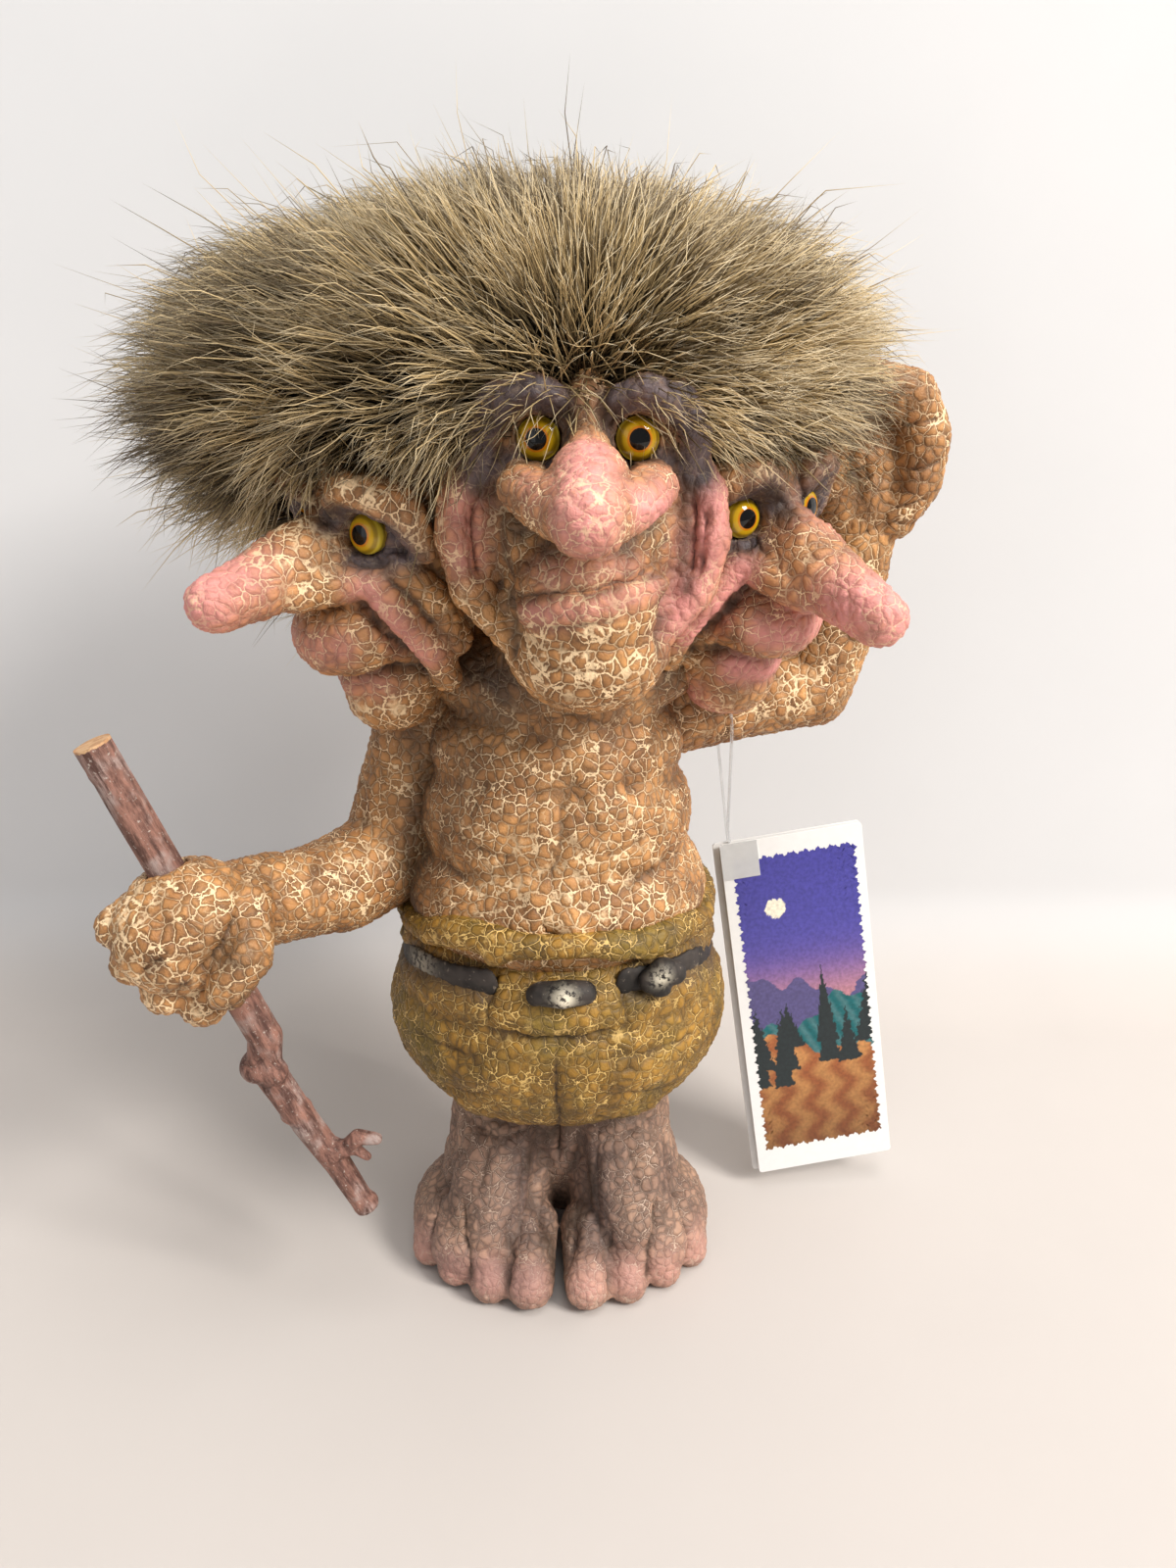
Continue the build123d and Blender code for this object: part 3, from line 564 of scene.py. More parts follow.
def middle_head_clay():
    """Broad smiling face with a stout nose, heavy brows and folded cheeks."""
    clay = Clay(face_frame(MIDDLE_PLACE, 0))
    clay.lump((0, 1, 3), (20.3, 20, 23))
    clay.lump((0, -7, -8), (17, 14.5, 18))
    clay.lump((0, -13.5, -16), (13.4, 14, 12))
    clay.lump((0, -12.5, -25), (13.4, 13.5, 11.2))
    clay.lump((0, -4, -22), (14.5, 14, 12))
    cheek = [(17.4, -11, 3.5), (19.4, -12, -2), (20, -12.6, -8), (18.6, -13, -16), (13.4, -14.6, -23)]
    for side, inset in ((-1, 0.8), (1, 2.4)):
        clay.roll([(side * (x - inset), y, z) for x, y, z in cheek], 3.6, 4.4, 4.6, 4.0, 2.6)
    clay.roll([(0, -18, 10), (0, -22, 6), (0, -29, 3.4), (0, -41, 0.9)], 2.6, 4.0, 5.6, 5.4)
    wing = [(9.8, -21, 2.6), (9.4, -26, 1.8), (5, -34, 0.8), (1.6, -40, 0.4)]
    clay.pair(clay.roll, wing, 2.8, 3.5, 4.0, 3.8)
    brow = [(3.8, -19.4, 12.8), (8, -20.6, 13.8), (13, -17, 12.4), (15.8, -13.6, 7), (15.4, -13, 3)]
    clay.pair(clay.roll, brow, 2.5, 3.1, 3.1, 2.8, 2.4)
    clay.roll([(0, -16.6, 14.4), (0, -19.2, 10)], 2.8, 2.5)
    clay.roll([(-9, -22.2, -17.2), (0, -25.2, -15.8), (11, -20.4, -13.4)], 2.0, 2.7, 2.0)
    clay.cast("middle_head_skin", soften=6)
    fold = [(13.4, -20, 2), (15, -18, -4), (15, -18, -11), (13, -19.5, -18), (12, -19, -24)]
    clay.pair(clay.crease, fold, 3.0, 1.9)
    clay.pair(clay.ridge, [(12.5, -20, -3), (6.4, -26.5, -5)], -2.6, 2.6)
    clay.ridge([(-9.8, -21, -4.4)], -1.6, 2.6)
    mouth = [(-12, -20, -15.4), (-8.3, -24, -14.2), (0, -28.6, -12), (8, -25.4, -10.8), (14, -19, -8)]
    clay.crease(mouth, 1.5, 0.8)
    clay.crease([(-8, -24, -18.8), (0, -28, -18.2), (9, -24, -16.4)], 0.7, 1.0)
    clay.pair(clay.crease, [(2.4, -19, 17), (3.0, -21, 9)], 1.4, 1.0)
    clay.pair(clay.crease, [(3.6, -21, 3.2), (8, -21, 2.8), (13, -16.5, 3.4)], 0.8, 0.9)
    clay.pair(clay.crease, [(18.4, -15, -1), (17.6, -16, -8), (16.6, -16.4, -15)], 0.9, 0.8)
    clay.crease([(16, -17, -3), (20, -14, -6)], 0.8, 0.8)
    clay.crease([(15.6, -17, -9), (19, -14, -12)], 0.8, 0.8)
    clay.pair(clay.crease, [(7, -23, 15.4), (12.4, -19, 14), (14.4, -17, 10)], 0.7, 0.8)
    clay.crease([(-10, -24, -24), (-3, -27, -26), (5, -26, -25)], 0.6, 0.9)
    clay.soften(1)
    seat_eyes(clay, MIDDLE_EYES)
    clay.paint("pink", [(0, -32, 6), (0, -40, 5), (0, -46, 1)], 5.6, 1.0)
    clay.paint("pink", [(10.4, -25, 1), (5, -36, 1)], 3.8, 1.0)
    clay.paint("pink", [(-9, -27, 2), (-4, -37, 1)], 3.0, 0.3)
    clay.paint("pink", [(19, -15, -1), (18, -15, -12), (14, -17, -19)], 4.6, 1.0)
    clay.paint("pink", [(-19, -15, -3), (-18.6, -15, -10)], 3.8, 0.65)
    clay.paint("pink", [(-8, -25, -16.6), (0, -29, -15), (10, -24, -12.8)], 2.6, 0.6)
    clay.paint("pink", [(-6, -27, -9), (8, -26, -8)], 4.0, 0.45)
    brow_skin = [(4.6, -22, 13.4), (9, -23, 14.4), (13.6, -19, 12.6), (17.4, -15, 7), (16, -15, 3)]
    clay.paint_pair("dusk", brow_skin, 3.8, 1.5)
    under_eye = [(3.6, -21, 11), (4, -21, 5), (8, -20, 3.2), (13, -16, 4)]
    clay.paint_pair("dusk", under_eye, 2.6, 1.0)
    # Cream worn paint on the nose tip, the lower lip and the chin; on the nose tip and the chin it also
    # stands as a painted highlight.
    clay.paint("bare", [(1.5, -43.5, 5), (1.5, -46, 2)], 2.4, 1.0)
    clay.paint("bare", [(-8, -25, -19.4), (0, -27, -19), (8, -25, -17)], 2.6, 1.0)
    clay.paint("bare", [(-8, -25, -24), (0, -27, -26), (8, -25, -24)], 7, 0.75)
    clay.paint("bare", [(-21, -13, -6), (-20, -13, -14)], 3.6, 0.6)
    # Painted shade in the mouth crease, under the nose and its wings, at the inner eye corners and in the
    # cheek folds; the left nose wing is darkest, as it lies in shade.
    clay.paint("painted_shade", mouth, 0.7, 0.6)
    clay.paint("painted_shade", [(-12, -22, 1), (-9, -27, 0), (-6, -31, -1)], 3.0, 0.7)
    clay.paint_pair("painted_shade", [(12, -20, -3.4), (7, -24, -5)], 2.6, 0.9)
    clay.paint("painted_shade", [(-4, -32, -4), (0, -34, -4), (4, -32, -4)], 2.2, 0.5)
    clay.paint_pair("painted_shade", [(3.2, -21.6, 11), (4, -21.4, 7.4)], 1.6, 0.7)
    clay.paint_pair("painted_shade", fold, 1.6, 0.85)
    return clay


def side_head_clay(name, place, turn, droop, rosy):
    """Smaller face with a long nose, knitted brows and a sulky mouth, either rosy or with bare paint."""
    clay = Clay(face_frame(place, turn))
    fall = sin(radians(droop))
    clay.lump((0, 2, 3), (17, 17, 19))
    clay.lump((0, -5, -6), (14, 12.5, 16))
    clay.lump((0, -12.4, -9.4), (11.4, 11.6, 7.6), (20, 0, 0))
    clay.lump((0, -6, -18.5), (10.4, 9.6, 9.4))
    bridge, ball = (0, -22, 4.4 - 10 * fall), (0, -38.6, 3.2 - 26 * fall)
    clay.roll([(0, -11, 6.5), bridge, (0, -32, 3.4 - 20 * fall), ball], 6.4, 6.2, 5.2, 4.4)
    clay.pair(clay.roll, [(6, -13, 1), (6, -17.6, -0.6), (3, -26, 1.4 - 16 * fall)], 3.0, 3.4, 3.2)
    brow = [(2.8, -17, 10.4), (7, -17.4, 13.2), (12.4, -13, 12.6), (14.6, -9.5, 5)]
    clay.pair(clay.roll, brow, 3.2, 3.8, 3.4, 2.6)
    clay.roll([(0, -14, 17), (0, -16, 9)], 2.8, 3.0)
    jowl = [(8.4, -15.6, -0.4), (12, -12.8, -5.4), (13.8, -8.8, -11.4), (13, -5, -18)]
    clay.pair(clay.roll, jowl, 2.8, 3.6, 3.4, 2.6)
    clay.pair(clay.roll, [(11.4, -12.4, 1.4), (14.6, -8.4, -4), (15.2, -4.6, -11)], 2.6, 3.2, 2.8)
    clay.roll([(-9, -11, -11.6), (0, -19.4, -13.4), (9, -11, -11.6)], 3.0, 3.4, 3.0)
    clay.roll([(-8, -7.6, -18.2), (0, -13.4, -19.4), (8, -7.6, -18.2)], 3.0, 3.4, 3.0)
    clay.lump((0, -6.6, -23.6), (8.4, 8, 6.8))
    clay.cast(name, soften=6)
    lips = [(-11, -7, -16), (-6, -14, -15.6), (0, -18, -16.6), (6, -14, -15.6), (11, -7, -16)]
    clay.crease(lips, 2.2, 1.0)
    groove = [(7.6, -17.4, -4), (9.8, -15, -8.4), (11.4, -11, -13), (11.6, -8, -17)]
    clay.pair(clay.crease, groove, 2.0, 1.2)
    clay.pair(clay.crease, [(10.4, -15, 1), (13.6, -11.6, -3.4), (14.6, -8.6, -9)], 1.0, 0.9)
    clay.pair(clay.crease, [(2.0, -17.6, 14), (2.8, -19, 7.4)], 1.5, 1.0)
    clay.pair(clay.crease, [(3.4, -18.6, 2.6), (8, -17, 2.6), (12.4, -13, 3.6)], 0.9, 1.0)
    clay.pair(clay.crease, [(3, -17, 15), (8, -17, 16.4), (13, -12, 14)], 0.9, 0.9)
    clay.soften(1)
    seat_eyes(clay, SIDE_EYES)
    tip = (0, -42, 3.2 - 29 * fall)
    clay.paint("pink", [(0, -34, 3.4 - 22 * fall), tip], 7.5, 1.0)
    cheek = [(9, -17, -1), (12.4, -15, -6), (14.4, -11, -12)]
    clay.paint_pair("pink", cheek, 3.2, 1.0 if rosy else 0.75)
    clay.paint("pink", [(-5, -20, -11), (0, -23, -12), (5, -20, -11)], 3.6, 0.9 if rosy else 0.5)
    clay.paint("pink", [(-5, -13, -19), (0, -16, -20), (5, -13, -19)], 3.2, 1.0 if rosy else 0.4)
    lids = [(3.4, -18.4, 9.5), (8, -16.6, 10.8), (12.6, -12.4, 9), (13, -12, 4), (7, -17, 3.4)]
    clay.paint_pair("dusk", lids, 3.0, 1.2)
    if rosy:
        clay.paint_pair("dusk", [(6, -17, 13), (12, -12, 12), (13, -10, 2)], 4.4, 1.1)
        clay.paint("pink", [(0, -22, 4 - 10 * fall), (0, -30, 3.4 - 18 * fall)], 6, 0.8)
        clay.paint("pink", [(-6, -6, -26), (6, -6, -26)], 5, 0.7)
    else:
        clay.paint("bare", [(0, -16, 8), (0, -29, 6)], 6, 0.75)
        clay.paint_pair("bare", [(7, -20, 14.4), (13, -15, 13)], 3, 0.7)
        clay.paint("bare", [(-5, -12, -24), (5, -12, -24)], 5, 0.6)
    clay.paint("bare", [tip], 2.6, 1.0)
    # Painted shade in the mouth crease, the cheek grooves and the inner corners of the eyes.
    clay.paint("painted_shade", lips, 1.0, 0.85)
    clay.paint_pair("painted_shade", groove, 1.2, 0.7)
    clay.paint_pair("painted_shade", [(3, -20.6, 8.6), (6.4, -19.6, 9.8)], 2.0, 0.8)
    return clay


# Body


def torso_clay():
    """Bare chest and belly with a thick neck."""
    clay = Clay()
    clay.lump((0, -2, 88), (28.6, 24.8, 17))
    clay.lump((0, -1.5, 103), (25.5, 21.5, 18))
    clay.lump((0, 0, 116), (23.5, 18.5, 14))
    clay.lump((1, 0, 128), (20, 15.5, 12))
    clay.roll([(2, -3, 128), (5, -5, 150)], 14.5, 13)
    clay.roll([(-17, 9, 136), (20, 10, 138)], 12, 12)
    clay.lump((-9, 2, 130), (15, 13, 9))
    clay.lump((13, 3, 131), (14, 13, 9))
    clay.roll([(0, -1, 74), (0, -1, 90)], 24, 24)
    clay.cast("torso_skin", grain=0.51, soften=10)
    clay.ridge([(-13, -17, 114), (-4, -20, 111)], 1.6, 5.5)
    clay.ridge([(14, -17, 114), (5, -20, 111)], 1.6, 5.5)
    clay.crease([(1, -22, 118), (1.5, -22, 106), (-1, -24, 98)], 1.0, 2.0)
    clay.crease([(-9, -20, 122), (-3, -20, 126), (4, -20, 127), (12, -18, 124)], 1.0, 1.6)
    clay.crease([(-15, -19, 104), (-6, -23, 103)], 0.7, 1.4)
    clay.crease([(8, -22, 103), (16, -18, 105)], 0.7, 1.4)
    clay.crease([(-2, -25, 93), (-1, -25, 90.5), (1, -25, 90)], 1.6, 1.3)
    clay.ridge([(-6, -24, 96), (6, -24, 96)], 0.8, 6)
    clay.crease([(-20, -13, 98), (-12, -21, 95)], 0.6, 1.4)
    clay.crease([(10, -21, 95), (19, -14, 98)], 0.6, 1.4)
    # Cream worn paint on the belly, which also stands as a painted highlight.
    clay.paint("bare", [(-8, -22, 98), (10, -22, 96)], 11, 0.45)
    # Painted shade down the shaded left side, under the chin and at the sides of the neck.
    clay.paint("painted_shade", [(-22, -4, 120), (-24, -4, 110), (-25, -8, 98), (-25, -10, 88)], 4.5, 0.9)
    clay.paint("painted_shade", [(-14, -16, 120), (-18, -14, 106)], 5, 0.4)
    clay.paint("painted_shade", [(-20, -8, 134), (-6, -14, 134), (6, -17, 133), (20, -8, 134)], 6, 0.9)
    clay.paint("painted_shade", [(-22, -6, 124), (-10, -16, 127)], 5, 0.7)
    clay.paint("painted_shade", [(-13, -12, 134), (-9, -14, 130)], 3.5, 1.0)
    return clay


def belt_level(y):
    """Height of the belt, which rises towards the front."""
    share = min(max((y + 28) / 26, 0.0), 1.0)
    return BELT_HEIGHT + 1.8 - 5.2 * share * share * (3 - 2 * share)


def belt_turns(steps):
    """Angles along the belt, from its right end around the back to its left end."""
    return np.linspace(radians(BELT_START), radians(BELT_END), steps)


def trousers_clay():
    """Short baggy trousers with a rolled waistband, a belt groove and a flap in front."""
    clay = Clay()
    clay.lump((0, -1, 62), (33.7, 30, 24.5))
    clay.lump((0, -1, 74), (32.6, 28.9, 15))
    for side in (-1, 1):
        clay.lump((side * 11, -1.5, 46), (13.5, 17, 8.5))
    steps = 48
    turns = [2 * pi * step / steps for step in range(steps + 1)]
    rim = []
    for turn in turns:
        y = -1.4 + 25.6 * sin(turn)
        sway = 0.7 * sin(3 * turn + 1) + 0.5 * sin(8 * turn)
        rim.append((28.2 * cos(turn), y, belt_level(y) + 8.6 + sway))
    for start, end, turn in zip(rim, rim[1:], turns):
        clay.roll([start, end], 2.6 + 0.4 * sin(5 * turn))
    clay.cast("trousers_skin", grain=0.5, soften=7)
    ring = []
    for turn in belt_turns(48):
        y = -1 + 28.4 * sin(turn)
        ring.append((32.2 * cos(turn), y, belt_level(y)))
    clay.ridge(ring, -3.0, 3.0)
    for x in (-12.5, 13.5):
        clay.crease([(x, -27, 85), (x * 0.98, -28, 71)], 1.0, 1.0)
    clay.crease([(-12, -28, 71.2), (0, -31, 70.6), (13, -28, 71.2)], 1.2, 1.1)
    clay.ridge([(-10.4, -27, 84.6), (-9.6, -27, 86)], 1.6, 1.8)
    clay.ridge([(-8, -30, 74), (9, -30, 74)], 0.8, 3.0)
    clay.crease([(0.5, -31, 69), (0, -31, 60), (1, -29, 50), (0, -22, 40)], 1.4, 1.6)
    for side in (-1, 1):
        clay.crease([(side * 23, -19, 53), (side * 11, -27, 58)], 1.0, 1.6)
        clay.crease([(side * 26, -16, 64), (side * 14, -26, 65)], 0.8, 1.4)
        clay.crease([(side * 6, -27, 52), (side * 15, -20, 46)], 1.0, 1.5)
        clay.ridge([(side * 18, -24, 60), (side * 8, -29, 63)], 0.8, 3.0)
        clay.ridge([(side * 12, -25, 50), (side * 20, -20, 50)], 0.8, 2.6)
    clay.crease([(0, 29, 70), (0, 29, 44)], 1.4, 1.6)
    clay.paint("bare", rim[30:43], 2.6, 0.7)
    clay.paint("bare", [(-11, -29, 71), (0, -31, 70.6), (12, -29, 71)], 2.4, 0.8)
    # Painted shade along the belt groove and round the lower edge of the trousers.
    clay.paint("painted_shade", ring, 3.0, 0.8)
    clay.paint("painted_shade", [(-15, -14, 38), (0, -18, 37), (15, -14, 38)], 4.5, 0.7)
    return clay


# Toes of one foot: distance from the middle, depth and radius
TOES = ((6.0, -23.0, 5.4), (14.2, -21.6, 4.7), (21.6, -17.6, 4.3), (27.6, -12.4, 3.9))
# Height of the soles under their relief
SOLE_LIFT = 0.45


def feet_clay():
    """Two broad bare feet with short toes, moulded together along the crease between them."""
    clay = Clay()
    for side in (-1, 1):
        clay.roll([(side * 12, 3, 52), (side * 12.4, 2.5, 32), (side * 13.4, 1, 20)], 10.4, 10.6, 11.4)
        clay.lump((side * 13.2, 1, 14), (12.8, 16, 16))
        clay.lump((side * 16.8, -5, 7.6), (15.4, 18, 10.4))
        clay.lump((side * 12.4, 11, 7), (11, 12, 9))
        clay.roll([(side * 13, -3, 27), (side * 15.6, -14, 12)], 9, 7.4)
        for x, tip, radius in TOES:
            root, knuckle = (side * x * 0.95, tip + 11, radius + 4.4), (side * x, tip + 2, radius + 1.2)
            clay.roll([root, knuckle, (side * x, tip, radius - 0.6)], radius)
    clay.lump((0, 2, 26), (7, 9, 25))
    clay.cast("feet_skin", grain=0.5, soften=6)
    clay.points[:, 2] = np.maximum(clay.points[:, 2], 0.0)
    clay.crease([(0, -24, 4), (0, -20, 14), (0, -12, 26), (0, -9, 38)], 3.0, 2.0)
    for side in (-1, 1):
        for (x, tip, radius), (next_x, next_tip, _) in zip(TOES, TOES[1:]):
            middle, front = side * (x + next_x) / 2, (tip + next_tip) / 2 - radius
            gap = [(middle, front + 1, 3), (middle, front + 6, 11), (middle * 0.94, front + 13, 20)]
            clay.crease(gap, 1.3, 1.2)
        for x, ankle_x in ((6, 7), (13, 11.5), (20, 15.5), (25, 19)):
            clay.ridge([(side * x, -20 + x * 0.3, 12), (side * ankle_x, -9 + ankle_x * 0.1, 28)], 0.9, 1.5)
            clay.crease([(side * (x + 3), -17 + x * 0.3, 15), (side * (ankle_x + 2), -8, 29)], 0.6, 0.8)
        clay.crease([(side * 4, -9, 33), (side * 12, -10, 31), (side * 22, -3, 33)], 0.8, 1.3)
        for x, tip, radius in TOES:
            clay.paint("pink", [(side * x, tip - 2, 6)], 5.0, 0.85)
            clay.paint("bare", [(side * x, tip - radius, 4)], 3, 0.5)
        clay.paint("dusk", [(side * 6, -10, 26), (side * 9, -16, 15)], 8, 0.55)
        clay.paint("dusk", [(side * 20, -10, 20)], 7, 0.3)
    clay.paint("dusk", [(-6, -26, 8), (-16, -24, 8), (-24, -18, 8)], 5, 0.35)
    # Painted shade in the crease between the feet and across their tops under the trousers.
    clay.paint("painted_shade", [(0, -22, 6), (0, -14, 24), (0, -10, 38)], 2.8, 0.9)
    clay.paint("painted_shade", [(-22, -4, 38), (-12, -9, 37), (0, -7, 38), (12, -9, 37), (22, -4, 38)], 4.0, 0.75)
    clay.points[:, 2] = np.maximum(clay.points[:, 2], SOLE_LIFT)
    return clay


# Arms


def twig_frame():
    """Frame of the twig: it stands in the middle of the fist, z along the stick."""
    return Matrix.Translation(FIST_CENTRE) @ Matrix.Rotation(radians(TWIG_LEAN), 4, "Y")


def bore_mesh():
    """Rod that cuts the twig's bore through the fist."""
    wide = TWIG_RADIUS + BORE_GAP
    size = {"radius1": wide, "radius2": wide, "depth": 60}
    form = bmesh.new()
    bmesh.ops.create_cone(form, cap_ends=True, segments=40, matrix=twig_frame(), **size)
    return form_mesh("bore", form)


# Knuckles of the fist in the twig's frame: place and radius
FIST_KNUCKLES = (
    (-10.8, -3.5, 6.0, 3.8),
    (-11.0, -4.5, -0.5, 4.0),
    (-8.8, -5.0, -7.2, 4.0),
    (-4.0, -5.0, -12.0, 3.8),
)


def right_arm_clay():
    """Bent arm whose fist closes around the twig."""
    clay = Clay()
    clay.roll([(-23, 5, 123), (-27.5, 3.5, 108), (-32, 0.5, 92)], 9, 9, 9.8)
    clay.roll([(-32, 0.5, 92), (-40, -10, 91.5), (-49, -19.5, 93.5)], 9.8, 9, 7.6)
    clay.place = twig_frame()
    clay.roll([(10.5, 8.5, -1.5), (3, 4, 0)], 6.6, 8)
    clay.lump((-0.5, -1, 2), (11.5, 10.5, 11))
    clay.lump((-3.6, -3.4, 1.4), (9.3, 9.6, 10.2))
    for x, y, z, radius in FIST_KNUCKLES:
        finger = [(x * 0.45, y + 3, z * 0.8 + 2), (x, y, z), (x * 0.86, y + 7, z - 1.5)]
        clay.roll(finger, radius * 1.15, radius, radius * 0.9)
    clay.roll([(9.5, 1, 1), (8.6, -6.4, -5), (3.4, -9.5, -8.6)], 4.2, 4.2, 3.4)
    clay.cast("right_arm_skin", soften=5, bore=bore_mesh())
    # Creases between the fingers, each with painted shade in it.
    for x, y, z in ((-3.5, -12.5, 1.5), (-3, -12, -6.5), (2.5, -11, -10.5)):
        clay.crease([(x + 2.5, y, z + 1), (x - 3, y + 1, z - 1)], 1.3, 1.0)
        clay.paint("painted_shade", [(x + 1, y, z + 0.5), (x - 1.5, y, z - 0.5)], 1.5, 0.6)
    clay.crease([(8, -3, 3), (5.6, -9.6, -2), (0.5, -12, -5)], 1.6, 1.1)
    # Cream worn paint on the back of the fist, which also stands as a painted highlight.
    clay.paint("bare", [(-8, -6, 8), (-9, -6, -8)], 10, 0.85)
    # Painted shade beside the thumb.
    clay.paint("painted_shade", [(9, -6, -4), (6, -8, -10)], 4, 0.6)
    clay.place = Matrix.Identity(4)
    clay.paint("bare", [(-38, -12, 97)], 8, 0.4)
    # Painted shade down the inside of the arm, against the torso.
    clay.paint("painted_shade", [(-26, -4, 124), (-24, -6, 108), (-28, -9, 92)], 3.5, 0.7)
    return clay


def left_arm_clay():
    """Arm raised behind the right head, with a broad open hand."""
    clay = Clay()
    clay.roll([(20, 12, 118), (36, 18, 118.5), (50, 21.5, 119.5)], 9.6, 8.8, 8.6)
    clay.roll([(50, 21.5, 119.5), (54.5, 23, 132), (56.5, 23.5, 142)], 8.8, 8.0, 7.2)
    clay.roll([(56.5, 23.5, 142), (58, 25, 151), (58, 26, 160)], 7.0, 7.2, 8.6)
    clay.lump((58, 26, 165), (12, 6.5, 12))
    fingers = [(50, 22, 172), (57, 21, 176), (64, 21, 174), (67, 21, 167), (66.6, 21, 159), (63.5, 21, 152.5)]
    clay.roll(fingers, 4.4, 4.6, 4.8, 4.9, 4.6, 3.9)
    clay.roll([(53, 22, 153), (50, 18.5, 160), (49.5, 17, 166)], 4.2, 3.8, 3.2)
    clay.cast("left_arm_skin", soften=6)
    clay.ridge([(55, 17, 163), (56, 17, 159)], -1.2, 5.0)
    for x, z in ((66.5, 170.5), (68.5, 163), (66.5, 156)):
        clay.crease([(x - 6, 16.5, z - 1.5), (x + 3, 17.5, z + 0.6)], 1.0, 0.9)
    clay.crease([(55, 17, 150), (62, 15, 152), (70, 18, 150)], 0.8, 1.2)
    clay.paint("bare", [(36, 9, 116), (48, 13, 122)], 6, 0.3)
    # Painted shade in the hollow of the hand.
    clay.paint("painted_shade", [(60, 16, 158), (62, 15, 164)], 3, 0.2)
    return clay


# Eyes


# Outlines of the clear dome and of the disc under it, as radius and height
DOME_OUTLINE = [(EYE_RADIUS * sin(angle), 1.9 * cos(angle) - 0.2) for angle in np.linspace(0, pi / 2, 29)]
DOME_OUTLINE += [(EYE_RADIUS, -0.9), (0, -0.9)]
DISC_RADIUS = EYE_RADIUS - 0.08
DISC_FACE = [(radius, -1.45 + 0.03 * radius**2) for radius in np.linspace(0, DISC_RADIUS, 24)]
DISC_OUTLINE = [(0, -1.6), *DISC_FACE, (DISC_RADIUS, -1.6)]


def turned_piece(name, outline, seat, material):
    """Round piece turned from an outline, with how far from its axis each point lies."""
    form = bmesh.new()
    profile = [form.verts.new((radius, 0, height)) for radius, height in outline]
    edges = [form.edges.new(pair) for pair in zip(profile, profile[1:])]
    around = {"axis": (0, 0, 1), "cent": (0, 0, 0), "steps": 48, "angle": 2 * pi, "use_merge": True}
    bmesh.ops.spin(form, geom=profile + edges, **around)
    bmesh.ops.remove_doubles(form, verts=form.verts, dist=1e-4)
    bmesh.ops.recalc_face_normals(form, faces=form.faces)
    ring = [hypot(vert.co.x, vert.co.y) / EYE_RADIUS for vert in form.verts]
    bmesh.ops.transform(form, matrix=seat, verts=form.verts)
    piece = mesh_piece(name, form, material)
    mark_points(piece.data, "ring", ring)
    piece.data.shade_smooth()
    return piece


def eye_pieces(head_name, place, turn, eyes, lens_material, disc_material):
    """Clear domes over painted discs, one pair for a face."""
    for side_name, (centre, out) in zip(("left", "right"), eye_places(eyes)):
        seat = Matrix.LocRotScale(centre, out.to_track_quat("Z", "Y"), None)
        seat = face_frame(place, turn) @ seat
        name = f"{head_name}_head_{side_name}"
        lens = turned_piece(f"{name}_eye_lens_shape", DOME_OUTLINE, seat, lens_material)
        settle(lens, "figure", [f"{name}_eye_lens"])
        iris = turned_piece(f"{name}_eye_disc_shape", DISC_OUTLINE, seat, disc_material)
        settle(iris, "figure", [f"{name}_eye_disc"])


def ringed_tone(tree, pupil, *rings):
    """Colour of an eye from its middle outwards: the pupil, then rings with where each starts and is full."""
    ring = tree.layer("ring")
    tone = pupil
    for low, high, colour in rings:
        tone = tree.mix(tree.step(ring, low, high), tone, colour)
    return tone


def eye_materials():
    """Amber glass, and a painted iris with a black pupil."""
    lens, tree, shader = new_material("amber glass", rough=0.06, bend=1.36, coat=0.3, coat_rough=0.02)
    tone = ringed_tone(
        tree,
        (0.002, 0.0015, 0.0015),
        (0.47, 0.5, (0.62, 0.2, 0.006)),
        (0.54, 0.62, (0.6, 0.36, 0.008)),
        (0.72, 0.84, (0.3, 0.185, 0.006)),
        (0.9, 0.97, (0.6, 0.45, 0.04)),
    )
    tree.put(shader.inputs["Base Color"], tone)
    disc, tree, shader = new_material("painted iris", rough=0.35)
    tone = ringed_tone(
        tree,
        (0.004, 0.003, 0.003),
        (0.44, 0.48, (0.95, 0.36, 0.01)),
        (0.52, 0.62, (0.95, 0.66, 0.02)),
        (0.86, 0.98, (0.42, 0.26, 0.01)),
    )
    tree.put(shader.inputs["Base Color"], tone)
    return lens, disc


# Belt, twig and tag


def belt_clay():
    """Dark strap in the groove, open behind the flap."""
    clay = Clay()
    for turn in belt_turns(72):
        y = -1 + 25.9 * sin(turn)
        centre = (29.5 * cos(turn), y, belt_level(y) + 0.25 * sin(9 * turn))
        clay.lump(centre, (0.9, 2.4, 3.2), (0, 0, degrees(turn)))
    clay.cast("belt_strap", soften=5)
    clay.paint("bare", [(-25, -16, BELT_HEIGHT)], 4, 0.35)
    return clay


def knobs_clay():
    """Two dark knobs with chipped paint, one on the flap and one on the belt."""
    clay = Clay()
    clay.roll([(-2.2, -28.6, 80), (1.6, -29.6, 80.6), (5.4, -28.6, 80.2)], 2.2, 2.6, 2.2)
    clay.lump((-3.2, -28.2, 79.4), (1.8, 1.6, 2.2))
    clay.roll([(17.2, -24.6, 80), (19.4, -24, 81.6), (21.4, -22.6, 80.4)], 2.3, 2.6, 2.3)
    clay.lump((18.8, -24.6, 78.4), (2.2, 1.8, 1.6))
    clay.cast("belt_knobs_shape", grain=0.3, soften=3)
    clay.paint("bare", [(2, -33, 81)], 2.0, 1.0)
    clay.paint("bare", [(19, -28, 82)], 1.6, 0.8)
    return clay


